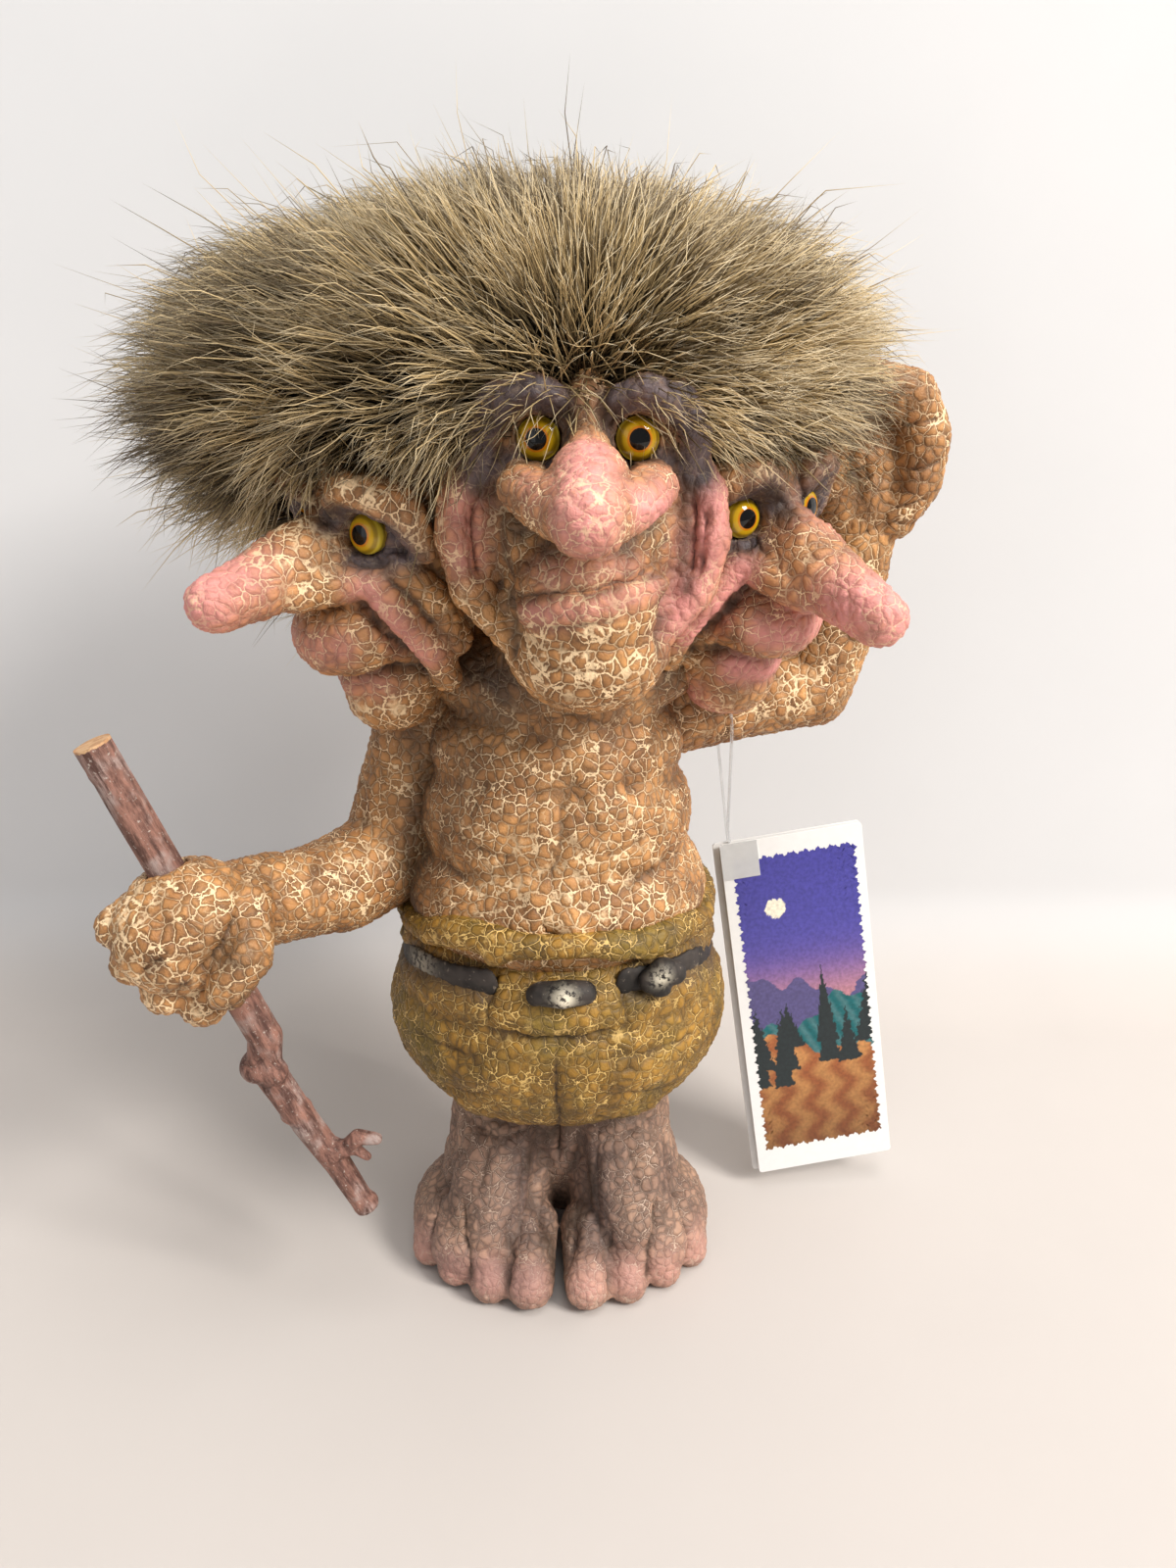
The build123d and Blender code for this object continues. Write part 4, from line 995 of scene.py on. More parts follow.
def twig_clay():
    """Natural stick, straight in the fist, bowed and knotted below it, with two short shoots."""
    clay = Clay(twig_frame())
    clay.roll([(0, 0, 40), (0, 0, -24.5)], 3.12, 3.16)
    bow = [(0, 0, -24.5), (-3.0, 0, -30.2), (-2.6, 0, -36), (-2.2, 0, -42), (-0.8, 0.4, -55), (0.1, 0, -68)]
    clay.roll(bow, 3.15, 3.2, 2.9, 2.8, 2.6, 2.2)
    clay.lump((-3.6, -0.4, -29.6), (3.7, 3.7, 3.2))
    clay.lump((-1.2, -1.4, -31.4), (2.6, 2.6, 2.4))
    clay.lump((-2.6, 0.6, -42), (3.2, 3.1, 2.2))
    clay.lump((-0.4, 0, -52.5), (3.0, 2.9, 2.2))
    clay.roll([(-0.8, 0, -52), (3, -0.4, -52.6), (6, -0.6, -50.8), (9.2, -0.6, -52.4)], 2.0, 1.7, 1.6, 1.2)
    clay.roll([(3.6, -0.4, -52), (6, -1, -55.4)], 1.3, 0.9)
    clay.lump((0.3, 0, -66.5), (2.6, 2.6, 2.2))
    clay.cast("twig_bark", grain=0.35, soften=4)
    upward = np.array(twig_frame().to_3x3() @ Vector((0, 0, 1)))
    rise = (clay.points - np.array(FIST_CENTRE)) @ upward
    clay.points -= (rise - np.clip(rise, TWIG_FOOT, TWIG_TOP))[:, None] * upward
    clay.crease([(-2.4, -2.2, 34), (-2.9, -1.4, 30), (-2.0, -2.6, 25)], 0.35, 0.6)
    clay.crease([(1.4, -3.0, 33), (2.2, -2.4, 27), (1.2, -3.1, 21)], 0.35, 0.6)
    clay.ridge([(-2.6, -2.4, 31.5)], 0.22, 1.2)
    clay.ridge([(2.2, -2.6, 26)], 0.22, 1.4)
    clay.crease([(-6.2, -1.5, -27.6), (-3.6, -3.9, -27.2), (-0.4, -3.2, -27.4)], 0.6, 0.6)
    clay.crease([(-5.4, -2.2, -33.2), (-2.4, -3.6, -33.6)], 0.5, 0.6)
    clay.crease([(-5.2, -1.5, -43.6), (-2.0, -3.2, -44)], 0.5, 0.6)
    edge = np.exp(-(((rise - TWIG_TOP - 0.4) / 0.5) ** 2))
    clay.paints["bare"] = np.where(rise > TWIG_TOP - 0.4, 1.0, edge)
    return clay


def bark_material():
    """Red-brown bark with grey streaks along the stick, painted shade in its hollows, and a pale cut end."""
    material, tree, shader = new_material("bark", rough=0.75)
    position = tree.position()
    upright = {"Vector": position, "Angle": -radians(TWIG_LEAN)}
    turn = tree.node("ShaderNodeVectorRotate", upright, rotation_type="Y_AXIS")
    streaky = tree.shift("MULTIPLY", turn.outputs[0], (1.0, 1.0, 0.22))
    streak = tree.noise(streaky, 620.0, 5.0, 0.7)
    patch = tree.noise(position, 130.0, 3.0, 0.6)
    fleck = tree.noise(position, 1500.0, 3.0, 0.7)
    tone = tree.mix(tree.step(streak, 0.35, 0.66), (0.085, 0.035, 0.025), (0.34, 0.165, 0.12))
    grey = tree.math("MULTIPLY", tree.step(patch, 0.48, 0.66), tree.step(streak, 0.35, 0.6))
    tone = tree.mix(grey, tone, (0.38, 0.29, 0.26))
    tone = tree.mix(tree.step(fleck, 0.6, 0.72), tone, (0.5, 0.42, 0.36))
    # Painted shade: the bark darkens in its hollows.
    tone = tree.mix(tree.math("MULTIPLY", tree.layer("hollow"), 0.8), tone, (0.05, 0.025, 0.018))
    rings = tree.noise(streaky, 700.0, 2.0)
    cut = tree.mix(tree.step(rings, 0.4, 0.6), (0.5, 0.26, 0.12), (0.62, 0.38, 0.2))
    tone = tree.mix(tree.step(tree.layer("bare"), 0.4, 0.6), tone, cut)
    tree.put(shader.inputs["Base Color"], tone)
    bump = tree.node("ShaderNodeBump", {"Height": streak, "Strength": 0.9, "Distance": 0.0007})
    tree.put(shader.inputs["Normal"], bump.outputs[0])
    return material


def dark_material():
    """Worn dark paint with pale chips."""
    material, tree, shader = new_material("dark strap", rough=0.7)
    position = tree.position()
    patch = tree.noise(position, 220.0, 3.0, 0.6)
    fleck = tree.noise(position, 900.0, 4.0, 0.65)
    tone = tree.mix(tree.step(patch, 0.35, 0.7), (0.01, 0.007, 0.005), (0.045, 0.034, 0.028))
    tone = tree.mix(tree.math("MULTIPLY", tree.step(fleck, 0.6, 0.68), 0.5), tone, (0.3, 0.24, 0.18))
    chips = tree.math("MULTIPLY", tree.layer("bare"), tree.step(fleck, 0.42, 0.52))
    tone = tree.mix(chips, tone, (0.85, 0.76, 0.58))
    tree.put(shader.inputs["Base Color"], tone)
    return material


def tag_frame():
    """Frame of the tag: x to the right, y up and z out of its front, from its top left corner."""
    yaw, lean, roll = radians(TAG_YAW), radians(TAG_LEAN), radians(TAG_ROLL)
    front = Vector((sin(yaw) * cos(lean), -cos(yaw) * cos(lean), sin(lean)))
    level = Vector((cos(yaw), sin(yaw), 0))
    right = level * cos(roll) + front.cross(level) * sin(roll)
    right = (right - front * right.dot(front)).normalized()
    turn = Matrix((right, front.cross(right), front)).transposed()
    return Matrix.Translation(TAG_CORNER) @ turn.to_4x4()


def leaf_piece(name, start, low, material):
    """Leaf of card with softened corners and edges."""
    form = bmesh.new()
    middle = Matrix.Translation(((start + TAG_WIDTH) / 2, -TAG_LENGTH / 2, low + LEAF_THICKNESS / 2))
    size = Matrix.Diagonal((TAG_WIDTH - start, TAG_LENGTH, LEAF_THICKNESS, 1))
    rounded = {"profile": 0.5, "affect": "EDGES", "material": -1}
    bmesh.ops.create_cube(form, size=1, matrix=middle @ size)
    upright = [edge for edge in form.edges if abs(edge.verts[0].co.z - edge.verts[1].co.z) > 0.4]
    bmesh.ops.bevel(form, geom=upright, offset=0.7, segments=4, **rounded)
    bmesh.ops.bevel(form, geom=form.edges[:], offset=0.08, segments=2, **rounded)
    bmesh.ops.transform(form, matrix=tag_frame(), verts=form.verts)
    return mesh_piece(name, form, material)


# Picture on the tag: its size and corner, the columns and rows of its print, and its lift off the leaf
PICTURE_WIDTH = 26.4
PICTURE_HEIGHT = 70.0
PICTURE_CORNER = (3.6, -4.2)
PRINT_COLUMNS = 120
PRINT_ROWS = 300
PRINT_LIFT = 0.04
# Waves of a row of hills: pace, shift and share of the swing
HILL_WAVES = ((0.16, 1.7, 1.0), (0.37, 2.9, 1 / 2), (0.9, 4.1, 1 / 3))
# Waves of the picture's torn edges: pace at the sides, pace at the ends, shift at each, and depth
TEAR_WAVES = ((2.3, 2.1, 0, 0, 0.28), (5.1, 4.7, 1, 2, 0.22), (11.3, 10.1, 0, 0, 0.14))
# Firs in the picture: how many, and the limits of their middle, foot, height and half width
FIR_COUNT = 9
FIR_LIMITS = ((0, PICTURE_WIDTH), (14, 27), (10, 20), (2.2, 3.6))
FIR_TIERS = 4


def hill_line(across, seed, height, swing):
    """Height of a row of hills across the picture."""
    waves = [sin(across * pace + seed * shift) * share for pace, shift, share in HILL_WAVES]
    return height + swing * sum(waves)


def fir_top(across, middle, foot, tall, wide):
    """Outline of a fir above its foot: four stepped tiers that narrow upwards."""
    reach = abs(across - middle) / wide
    if reach >= 1:
        return foot - 1
    return foot + tall * max(1 - reach - 0.16 * ((reach * FIR_TIERS) % 1), 0.0)


def picture_tone(across, up, firs):
    """Colour of the dusk picture at a place in millimetres from its lower left corner."""
    sky = np.array((0.10, 0.085, 0.36)) * (1 - up / 72) + np.array((0.055, 0.05, 0.3)) * (up / 72)
    glow = np.exp(-(((up - 33) / 9) ** 2))
    tone = sky * (1 - 0.75 * glow) + np.array((0.62, 0.26, 0.2)) * 0.75 * glow
    if (across - 8) ** 2 + (up - 58) ** 2 < 5:
        tone = np.array((0.85, 0.78, 0.62))
    if up < hill_line(across, 1.0, 40, 3.4):
        tone = np.array((0.09, 0.075, 0.2))
    if up < hill_line(across, 2.4, 32, 3.0):
        tone = np.array((0.02, 0.13, 0.14)) + 0.03 * sin(across * 2.1 + up)
    if up < hill_line(across, 4.2, 24, 2.6):
        warm = 0.5 + 0.5 * sin(across * 0.9 + 1.3 * sin(up * 0.8))
        tone = np.array((0.34, 0.1, 0.03)) * (1 - warm) + np.array((0.55, 0.25, 0.08)) * warm
        tone = tone * (0.45 + 0.55 * up / 26)
    for middle, foot, tall, wide in firs:
        if foot - 1 < up < fir_top(across, middle, foot, tall, wide):
            tone = np.array((0.012, 0.02, 0.022))
    return tone


def picture_piece(material):
    """Printed picture with a torn-looking edge: a dusk sky, hills and firs."""
    rng = np.random.default_rng(SEED)
    firs = [[rng.uniform(*limits) for limits in FIR_LIMITS] for _ in range(FIR_COUNT)]
    left, top = PICTURE_CORNER
    form = bmesh.new()
    bmesh.ops.create_grid(form, x_segments=PRINT_COLUMNS, y_segments=PRINT_ROWS, size=0.5)
    tones = []
    for vert in form.verts:
        across, up = (vert.co.x + 0.5) * PICTURE_WIDTH, (vert.co.y + 0.5) * PICTURE_HEIGHT
        tones.append(picture_tone(across, up, firs))
        torn = sum(deep * sin(up * pace + shift) for pace, _, shift, _, deep in TEAR_WAVES)
        ragged = sum(deep * sin(across * pace + shift) for _, pace, _, shift, deep in TEAR_WAVES)
        x = left + across + torn * vert.co.x * 2
        y = top + up - PICTURE_HEIGHT + ragged * vert.co.y * 2
        vert.co = (x, y, PRINT_LIFT)
    bmesh.ops.transform(form, matrix=tag_frame(), verts=form.verts)
    piece = mesh_piece("tag_picture", form, material)
    layer = piece.data.attributes.new("print", "FLOAT_COLOR", "POINT")
    layer.data.foreach_set("color", np.array([(*tone, 1.0) for tone in tones], np.float32).ravel())
    return piece


def paper_materials():
    """White coated card, its printed picture, the clear loop and the frosted tape."""
    card = mottled_material("card", (500.0, 4.0, 0.6), (0.78, 0.77, 0.75), (0.86, 0.85, 0.83), rough=0.45)
    ink, tree, shader = new_material("printed picture", rough=0.35)
    colour = tree.node("ShaderNodeAttribute", attribute_name="print").outputs["Color"]
    speck = tree.step(tree.noise(tree.position(), 1400.0), 0.2, 0.8, 0.8, 1.2)
    tree.put(shader.inputs["Base Color"], tree.times(colour, speck))
    nylon = (0.86, 0.87, 0.88), (0.95, 0.95, 0.96)
    clear = mottled_material("clear nylon", (400.0,), *nylon, rough=0.2, clear=0.85)
    tape = (0.72, 0.72, 0.71), (0.84, 0.84, 0.83)
    frosted = mottled_material("frosted tape", (600.0,), *tape, rough=0.55, clear=0.35)
    return card, ink, clear, frosted


# Fur

FUR_CENTRE = np.array((-6.0, 8.0, 172.0))
# Forms that carry the fur: centre, half sizes and share of the strands
FUR_FORMS = (
    (FUR_CENTRE, np.array((49.0, 26.0, 25.0)), 0.7),
    (np.array((6.0, -5.0, 169.0)), np.array((20.8, 20.6, 23.6)), 0.14),
    (np.array((-25.3, -1.5, 154.0)), np.array((17.6, 17.6, 19.8)), 0.08),
    (np.array((28.2, 3.4, 155.5)), np.array((17.6, 17.6, 19.8)), 0.08),
)
# Point on the brow of the middle head from which the fur is combed outwards
FUR_WHORL = np.array((5.0, -20.0, 178.0))
# Limits of the fur: how far its tips go to the left, backwards, and in depth before they are drawn together
FUR_LEFT_END = -86.0
FUR_BACK_END = 50.0
FUR_DEPTH = (-36.0, 46.0)
# Shortest and longest strand, strands to a tuft, and share of stray strands
STRAND_LENGTHS = (20, 34)
TUFT_STRANDS = 30
STRAY_SHARE = 0.06
# Pieces into which the strands are parted, from left to right
FUR_PIECES = 6
# How far along a strand its four stations lie
STATIONS = (0.0, 0.36, 0.7, 1.0)
# Reach of the fur around its centre, seen from the front, by angle from the viewer's right
FUR_REACH = (
    (-180, 66), (-165, 68), (-150, 66), (-135, 46), (-90, 32), (-45, 46),
    (-20, 62), (0, 68), (15, 68), (30, 63), (45, 53), (60, 47),
    (90, 41), (120, 43), (135, 47), (150, 57), (165, 66), (180, 69),
)
# Height of the hairline in front of the heads, by x
HAIRLINE = (
    (-80, 147), (-58, 149), (-48, 158), (-42, 164.5), (-32, 169), (-18, 170),
    (-13, 171), (-8, 173.5), (-6, 175), (-2, 177.5), (6, 180), (14, 178.5),
    (19, 175), (22, 171.5), (27, 169.5), (36, 169.5), (48, 171), (62, 173),
)


def fur_roots(count, rng):
    """Places on the scalp and the skulls above the hairline, and the way out of each."""
    roots, ways = [], []
    for centre, half, share in FUR_FORMS:
        heading = rng.normal(size=(int(count * share * 4), 3))
        heading /= np.linalg.norm(heading, axis=1)[:, None]
        root = centre + half * heading
        hairline = np.interp(root[:, 0], *zip(*HAIRLINE))
        ragged = rng.normal(size=len(root)) * 1.2
        low = np.where(root[:, 1] < 6, hairline + ragged, 148.0)
        grows = root[:, 2] > low
        for other, size, _ in FUR_FORMS:
            if other is not centre:
                grows &= (((root - other) / size) ** 2).sum(1) > 0.9
        grows &= ~((root[:, 0] > 42) & (root[:, 2] < 176))
        kept = np.flatnonzero(grows)[: int(count * share)]
        roots.append(root[kept])
        out = heading[kept] / half
        ways.append(out / np.linalg.norm(out, axis=1)[:, None])
    return np.concatenate(roots), np.concatenate(ways)


def fur_paths(count, rng):
    """Stations of the strands, which are combed outwards from the brow, and the tone of each one's tuft."""
    root, out = fur_roots(count, rng)
    count = len(root)
    comb = (root - FUR_WHORL) * np.array((1.0, 0.7, 1.0))
    comb -= out * np.einsum("ij,ij->i", comb, out)[:, None]
    comb /= np.linalg.norm(comb, axis=1)[:, None] + 1e-6
    above = root[:, 2] - np.interp(root[:, 0], *zip(*HAIRLINE))
    fringe = np.where(root[:, 1] < 0, np.clip(above / 14, 0.0, 1.0), 1.0)
    loose = (0.16 + 0.3 * (1 - fringe))[:, None]
    way = 0.6 * out + 0.75 * comb * (0.4 + 0.6 * fringe)[:, None] + rng.normal(size=(count, 3)) * loose
    way[:, 2] += 0.06 - 0.22 * (1 - fringe)
    way /= np.linalg.norm(way, axis=1)[:, None]
    over_eye = (np.abs(np.abs(root[:, 0] - 3) - 32) < 13) & (root[:, 1] < 2)
    shortest = np.where(over_eye, 0.28, 0.45)
    length = rng.uniform(*STRAND_LENGTHS, count) * (shortest + (1 - shortest) * fringe)
    tip = root + way * length[:, None]
    span = tip - FUR_CENTRE
    swing = np.degrees(np.arctan2(span[:, 2], span[:, 0]))
    reach = np.interp(swing, *zip(*FUR_REACH)) * rng.uniform(0.84, 1.06, count)
    wide = np.hypot(span[:, 0], span[:, 2])
    tip[:, 0] -= span[:, 0] * np.clip(1 - reach / wide, 0, 1)
    tip[:, 2] -= span[:, 2] * np.clip(1 - reach / wide, 0, 1)
    tip[:, 1] = np.clip(tip[:, 1], *FUR_DEPTH)
    length = np.linalg.norm(tip - root, axis=1)
    return clumped(root, tip, length, rng)


def clumped(root, tip, length, rng):
    """Draws the tips of neighbouring strands together, bends each strand, and gives each tuft a tone."""
    count = len(root)
    leaders = rng.choice(count, count // TUFT_STRANDS, replace=False)
    tree = KDTree(len(leaders))
    for index, leader in enumerate(leaders):
        tree.insert(root[leader], index)
    tree.balance()
    mine = np.array([leaders[tree.find(place)[1]] for place in root])
    calm = np.clip(np.linalg.norm(root - FUR_WHORL, axis=1) / 16 - 0.2, 0, 1)
    pull = (rng.uniform(0.35, 0.95, count) * calm)[:, None]
    lead = root + (tip[mine] - root[mine]) * (length / length[mine])[:, None]
    meet = tip[mine] + (tip - tip[mine]) * 0.3
    tip = tip + (0.5 * (lead - tip) + 0.5 * (meet - tip)) * pull
    stray = rng.random(count) < STRAY_SHARE
    tip[stray] += rng.normal(size=(stray.sum(), 3)) * 5.0
    tip[:, 2] -= 0.003 * length**2
    tip[:, 0] = np.maximum(tip[:, 0], FUR_LEFT_END)
    tip[:, 1] = np.minimum(tip[:, 1], FUR_BACK_END)
    bend = rng.normal(size=(count, 3)) * (0.07 * length * (0.4 + 0.6 * calm))[:, None]
    lift = np.array((0, 0, 1.0)) * 0.06 * length[:, None]
    near = root + (tip - root) * STATIONS[1] + bend * 0.6 + lift
    far = root + (tip - root) * STATIONS[2] + bend + lift
    return (root, near, far, tip), rng.random(count)[mine]


def strand_mesh(name, stations, thickness, shade, material):
    """Closed three-sided tapering strands, with how far along and which shade each point is."""
    count = len(stations[0])
    way = stations[3] - stations[0]
    way /= np.linalg.norm(way, axis=1)[:, None]
    side = np.cross(way, np.array((0.31, -0.85, 0.42)))
    side /= np.linalg.norm(side, axis=1)[:, None]
    over = np.cross(way, side)
    rings = []
    for station, share in zip(stations[:3], (1.0, 0.9, 0.62)):
        for angle in (0, 2 * pi / 3, 4 * pi / 3):
            rings.append(station + (side * cos(angle) + over * sin(angle)) * (thickness * share)[:, None])
    rings.append(stations[3])
    points = np.stack(rings, axis=1).reshape(-1, 3) * MM
    first = (np.arange(count) * 10)[:, None]
    sides = np.array([(0, 1, 4, 3), (1, 2, 5, 4), (2, 0, 3, 5)])
    quads = np.concatenate((sides, sides + 3))
    threes = [(6, 7, 9), (7, 8, 9), (8, 6, 9), (2, 1, 0)]
    quad_corners = (first + quads.ravel()).reshape(-1)
    three_corners = (first + np.array(threes).ravel()).reshape(-1)
    corners = np.concatenate((quad_corners, three_corners))
    starts = np.concatenate((np.arange(count * 6) * 4, count * 24 + np.arange(count * 4) * 3))
    mesh = bpy.data.meshes.new(name)
    mesh.vertices.add(len(points))
    mesh.vertices.foreach_set("co", points.ravel())
    mesh.loops.add(len(corners))
    mesh.loops.foreach_set("vertex_index", corners.astype(np.int32))
    mesh.polygons.add(len(starts))
    mesh.polygons.foreach_set("loop_start", starts.astype(np.int32))
    mesh.update(calc_edges=True)
    mesh.validate()
    mark_points(mesh, "along", np.tile(np.repeat(STATIONS, (3, 3, 3, 1)), count))
    mark_points(mesh, "shade", np.repeat(shade, 10))
    mesh.shade_smooth()
    mesh.materials.append(material)
    return linked(name, mesh)


def fur_material():
    """Dull olive-beige strands, dark at the root and pale at the tip."""
    material, tree, shader = new_material("fur strands", rough=0.45)
    along = tree.layer("along")
    shade = tree.layer("shade")
    position = tree.position()
    patch = tree.noise(position, 70.0, 3.0)
    tint = tree.step(tree.math("MULTIPLY_ADD", patch, 0.8, shade), 0.55, 1.25)
    body = tree.mix(tint, (0.085, 0.052, 0.017), (0.66, 0.485, 0.24))
    tone = tree.mix(tree.step(along, 0.08, 0.52), (0.026, 0.016, 0.007), body)
    pale = tree.math("MULTIPLY", tree.step(along, 0.6, 1.0), tree.step(tint, 0.1, 0.7, 0.1, 0.75))
    tone = tree.mix(pale, tone, (0.9, 0.77, 0.55))
    tree.put(shader.inputs["Base Color"], tone)
    return material


def under_fur_clay():
    """Cap that carries the strands."""
    clay = Clay()
    for centre, half, _ in FUR_FORMS:
        clay.lump(tuple(centre), tuple(half + 0.3))
    clay.cast("fur_base", grain=1.0, soften=2)
    hairline = np.interp(clay.points[:, 0], *zip(*HAIRLINE))
    middle, foot = 8, 150
    front = np.clip((middle - clay.points[:, 1]) / 10, 0, 1)
    low = (hairline + 1.5) * front + foot * (1 - front)
    sunk = (clay.points[:, 2] < low) & (clay.points[:, 1] < middle)
    clay.points[sunk, 1] = middle + 0.1 * (clay.points[sunk, 1] - middle)
    clay.points[:, 2] = np.maximum(clay.points[:, 2], foot)
    return clay


# Stage

# Sheet in millimetres: half its width, its front edge, its wall and the wall's top, and the bend between
SHEET_HALF_WIDTH = 1500
SHEET_FRONT = -900
SHEET_WALL = 96
SHEET_TOP = 1200
SHEET_BEND = 30
# Camera: place in metres, tilt below the level in degrees, and lens in millimetres
CAMERA_PLACE = (0.006, -0.2, 0.2)
CAMERA_TILT = 24.9
CAMERA_LENS = 27.05
# Lights: place in metres, width, share of the key light's power, and tint
LIGHTS = {
    "key light": ((1.3, -0.85, 1.35), 0.6, 1.0, (1.0, 0.97, 0.93)),
    "fill light": ((-0.7, -0.8, 0.4), 0.8, 0.035, (0.95, 0.97, 1.0)),
    "top light": ((0.15, -0.2, 1.0), 0.5, 0.1, (1.0, 1.0, 1.0)),
}
LIGHTS_AIM = (0, 0, 0.1)


def stage_sheet():
    """Pale sheet that lies on the floor and curves up behind the figure, clear when seen from its back."""
    form = bmesh.new()
    profile = [(SHEET_FRONT, 0)]
    for angle in np.linspace(0, pi / 2, 17):
        profile.append((SHEET_WALL - SHEET_BEND * (1 - sin(angle)), SHEET_BEND * (1 - cos(angle))))
    profile.append((SHEET_WALL, SHEET_TOP))
    verts = [form.verts.new((-SHEET_HALF_WIDTH, y, z)) for y, z in profile]
    edges = [form.edges.new(pair) for pair in zip(verts, verts[1:])]
    made = bmesh.ops.extrude_edge_only(form, edges=edges)
    moved = [item for item in made["geom"] if isinstance(item, bmesh.types.BMVert)]
    bmesh.ops.translate(form, vec=(2 * SHEET_HALF_WIDTH, 0, 0), verts=moved)
    bmesh.ops.recalc_face_normals(form, faces=form.faces)
    if sum(face.normal.z * face.calc_area() for face in form.faces) < 0:
        bmesh.ops.reverse_faces(form, faces=form.faces)
    material, tree, shader = new_material("pale sheet", rough=0.8)
    position = tree.position()
    height = tree.node("ShaderNodeSeparateXYZ", {0: position}).outputs[2]
    grain = tree.math("MULTIPLY_ADD", tree.noise(position, 20.0), 0.06, 0.97)
    tone = tree.mix(tree.step(height, 0.0, 0.03), (0.545, 0.5, 0.465), (0.725, 0.72, 0.72))
    tree.put(shader.inputs["Base Color"], tree.times(tone, grain))
    behind = tree.node("ShaderNodeNewGeometry").outputs["Backfacing"]
    clear = tree.node("ShaderNodeBsdfTransparent").outputs[0]
    seen = tree.node("ShaderNodeMixShader", {0: behind, 1: shader.outputs[0], 2: clear})
    tree.put(material.node_tree.nodes["Material Output"].inputs["Surface"], seen.outputs[0])
    sheet = mesh_piece("stage_sheet", form, material)
    sheet.data.shade_smooth()


def stage_lights(power):
    """Soft square lights that look at the middle of the figure."""
    for name, (place, width, share, tint) in LIGHTS.items():
        light = bpy.data.lights.new(name, "AREA")
        light.size = width
        light.energy = power * share
        light.color = tint
        lamp = linked(name, light)
        lamp.location = place
        lamp.rotation_euler = (Vector(LIGHTS_AIM) - Vector(place)).to_track_quat("-Z", "Y").to_euler()


def stage_camera():
    """Hand-held camera close in front of the figure, looking down at it."""
    camera = bpy.data.cameras.new("camera")
    camera.sensor_fit = "VERTICAL"
    camera.sensor_height = 36.0
    camera.lens = CAMERA_LENS
    camera.clip_start = 0.01
    holder = linked("camera", camera)
    holder.location = CAMERA_PLACE
    holder.rotation_euler = (radians(90 - CAMERA_TILT), 0, 0)
    bpy.context.scene.camera = holder


def stage_world(level):
    """Even pale surroundings."""
    world = bpy.data.worlds.new("surroundings")
    world.use_nodes = True
    background = world.node_tree.nodes["Background"]
    background.inputs["Color"].default_value = (0.95, 0.97, 1.0, 1)
    background.inputs["Strength"].default_value = level
    bpy.context.scene.world = world


# Shared looks


def crackle_look(name, settings, lumps, puff_share=1.0, **paint):
    """Crackled paint and its relief, made once for each name."""
    if f"{name} paint" not in bpy.data.materials:
        cell = settings.crack_cell / MM
        crackle_material(f"{name} paint", cell, **paint)
        crackle_relief(f"{name} relief", cell, settings.puff / MM * puff_share, lumps)
    return bpy.data.materials[f"{name} paint"], bpy.data.node_groups[f"{name} relief"]


def skin_look(settings):
    """Paint and relief of the bare skin."""
    return crackle_look(
        "skin",
        settings,
        lumps=0.9,
        cells=((0.28, 0.122, 0.038), (0.54, 0.265, 0.09)),
        cracks=(0.94, 0.68, 0.4),
        pink=(0.72, 0.28, 0.25),
        rough=0.6,
    )


# Add-on


class TrollSettings(bpy.types.PropertyGroup):
    """Sizes of the surface and the fur, and the strength of the lights."""

    crack_cell: bpy.props.FloatProperty(
        name="Crack cell",
        description="Width of one cell of crackled paint",
        default=0.002,
        min=0.001,
        max=0.01,
        unit="LENGTH",
    )
    puff: bpy.props.FloatProperty(
        name="Puff",
        description="Height of a cell of paint above its cracks",
        default=0.00022,
        min=0.0,
        max=0.001,
        unit="LENGTH",
    )
    strands: bpy.props.IntProperty(
        name="Strands",
        description="Number of strands in the fur",
        default=52000,
        min=1000,
        max=60000,
    )
    strand_width: bpy.props.FloatProperty(
        name="Strand width",
        description="Half the thickness of a strand at its root",
        default=0.00013,
        min=0.00005,
        max=0.001,
        unit="LENGTH",
    )
    key_power: bpy.props.FloatProperty(
        name="Key light",
        description="Power of the main light",
        default=43.0,
        min=0.0,
        max=100.0,
        unit="POWER",
    )
    room_level: bpy.props.FloatProperty(
        name="Room light",
        description="Brightness of the surroundings",
        default=0.32,
        min=0.0,
        max=1.0,
        subtype="FACTOR",
    )


class TROLL_OT_heads(bpy.types.Operator):
    """Models the three heads"""

    bl_idname = "troll.heads"
    bl_label = "Heads"

    def execute(self, context):
        look = skin_look(context.scene.troll)
        middle_head_clay().finish("figure", "skin", ["middle_head"], *look)
        left = side_head_clay("left_head_skin", LEFT_PLACE, LEFT_TURN, LEFT_DROOP, rosy=False)
        left.finish("figure", "skin", ["left_head"], *look)
        right = side_head_clay("right_head_skin", RIGHT_PLACE, RIGHT_TURN, RIGHT_DROOP, rosy=True)
        right.finish("figure", "skin", ["right_head"], *look)
        return {"FINISHED"}


class TROLL_OT_eyes(bpy.types.Operator):
    """Makes the six eyes"""

    bl_idname = "troll.eyes"
    bl_label = "Eyes"

    def execute(self, context):
        lens, disc = eye_materials()
        eye_pieces("middle", MIDDLE_PLACE, 0, MIDDLE_EYES, lens, disc)
        eye_pieces("left", LEFT_PLACE, LEFT_TURN, SIDE_EYES, lens, disc)
        eye_pieces("right", RIGHT_PLACE, RIGHT_TURN, SIDE_EYES, lens, disc)
        return {"FINISHED"}


class TROLL_OT_body(bpy.types.Operator):
    """Models the torso and the two arms"""

    bl_idname = "troll.body"
    bl_label = "Torso and arms"

    def execute(self, context):
        look = skin_look(context.scene.troll)
        torso_clay().finish("figure", "skin", ["torso"], *look)
        right_arm_clay().finish("figure", "skin", ["right_arm"], *look)
        left_arm_clay().finish("figure", "skin", ["left_arm"], *look)
        return {"FINISHED"}


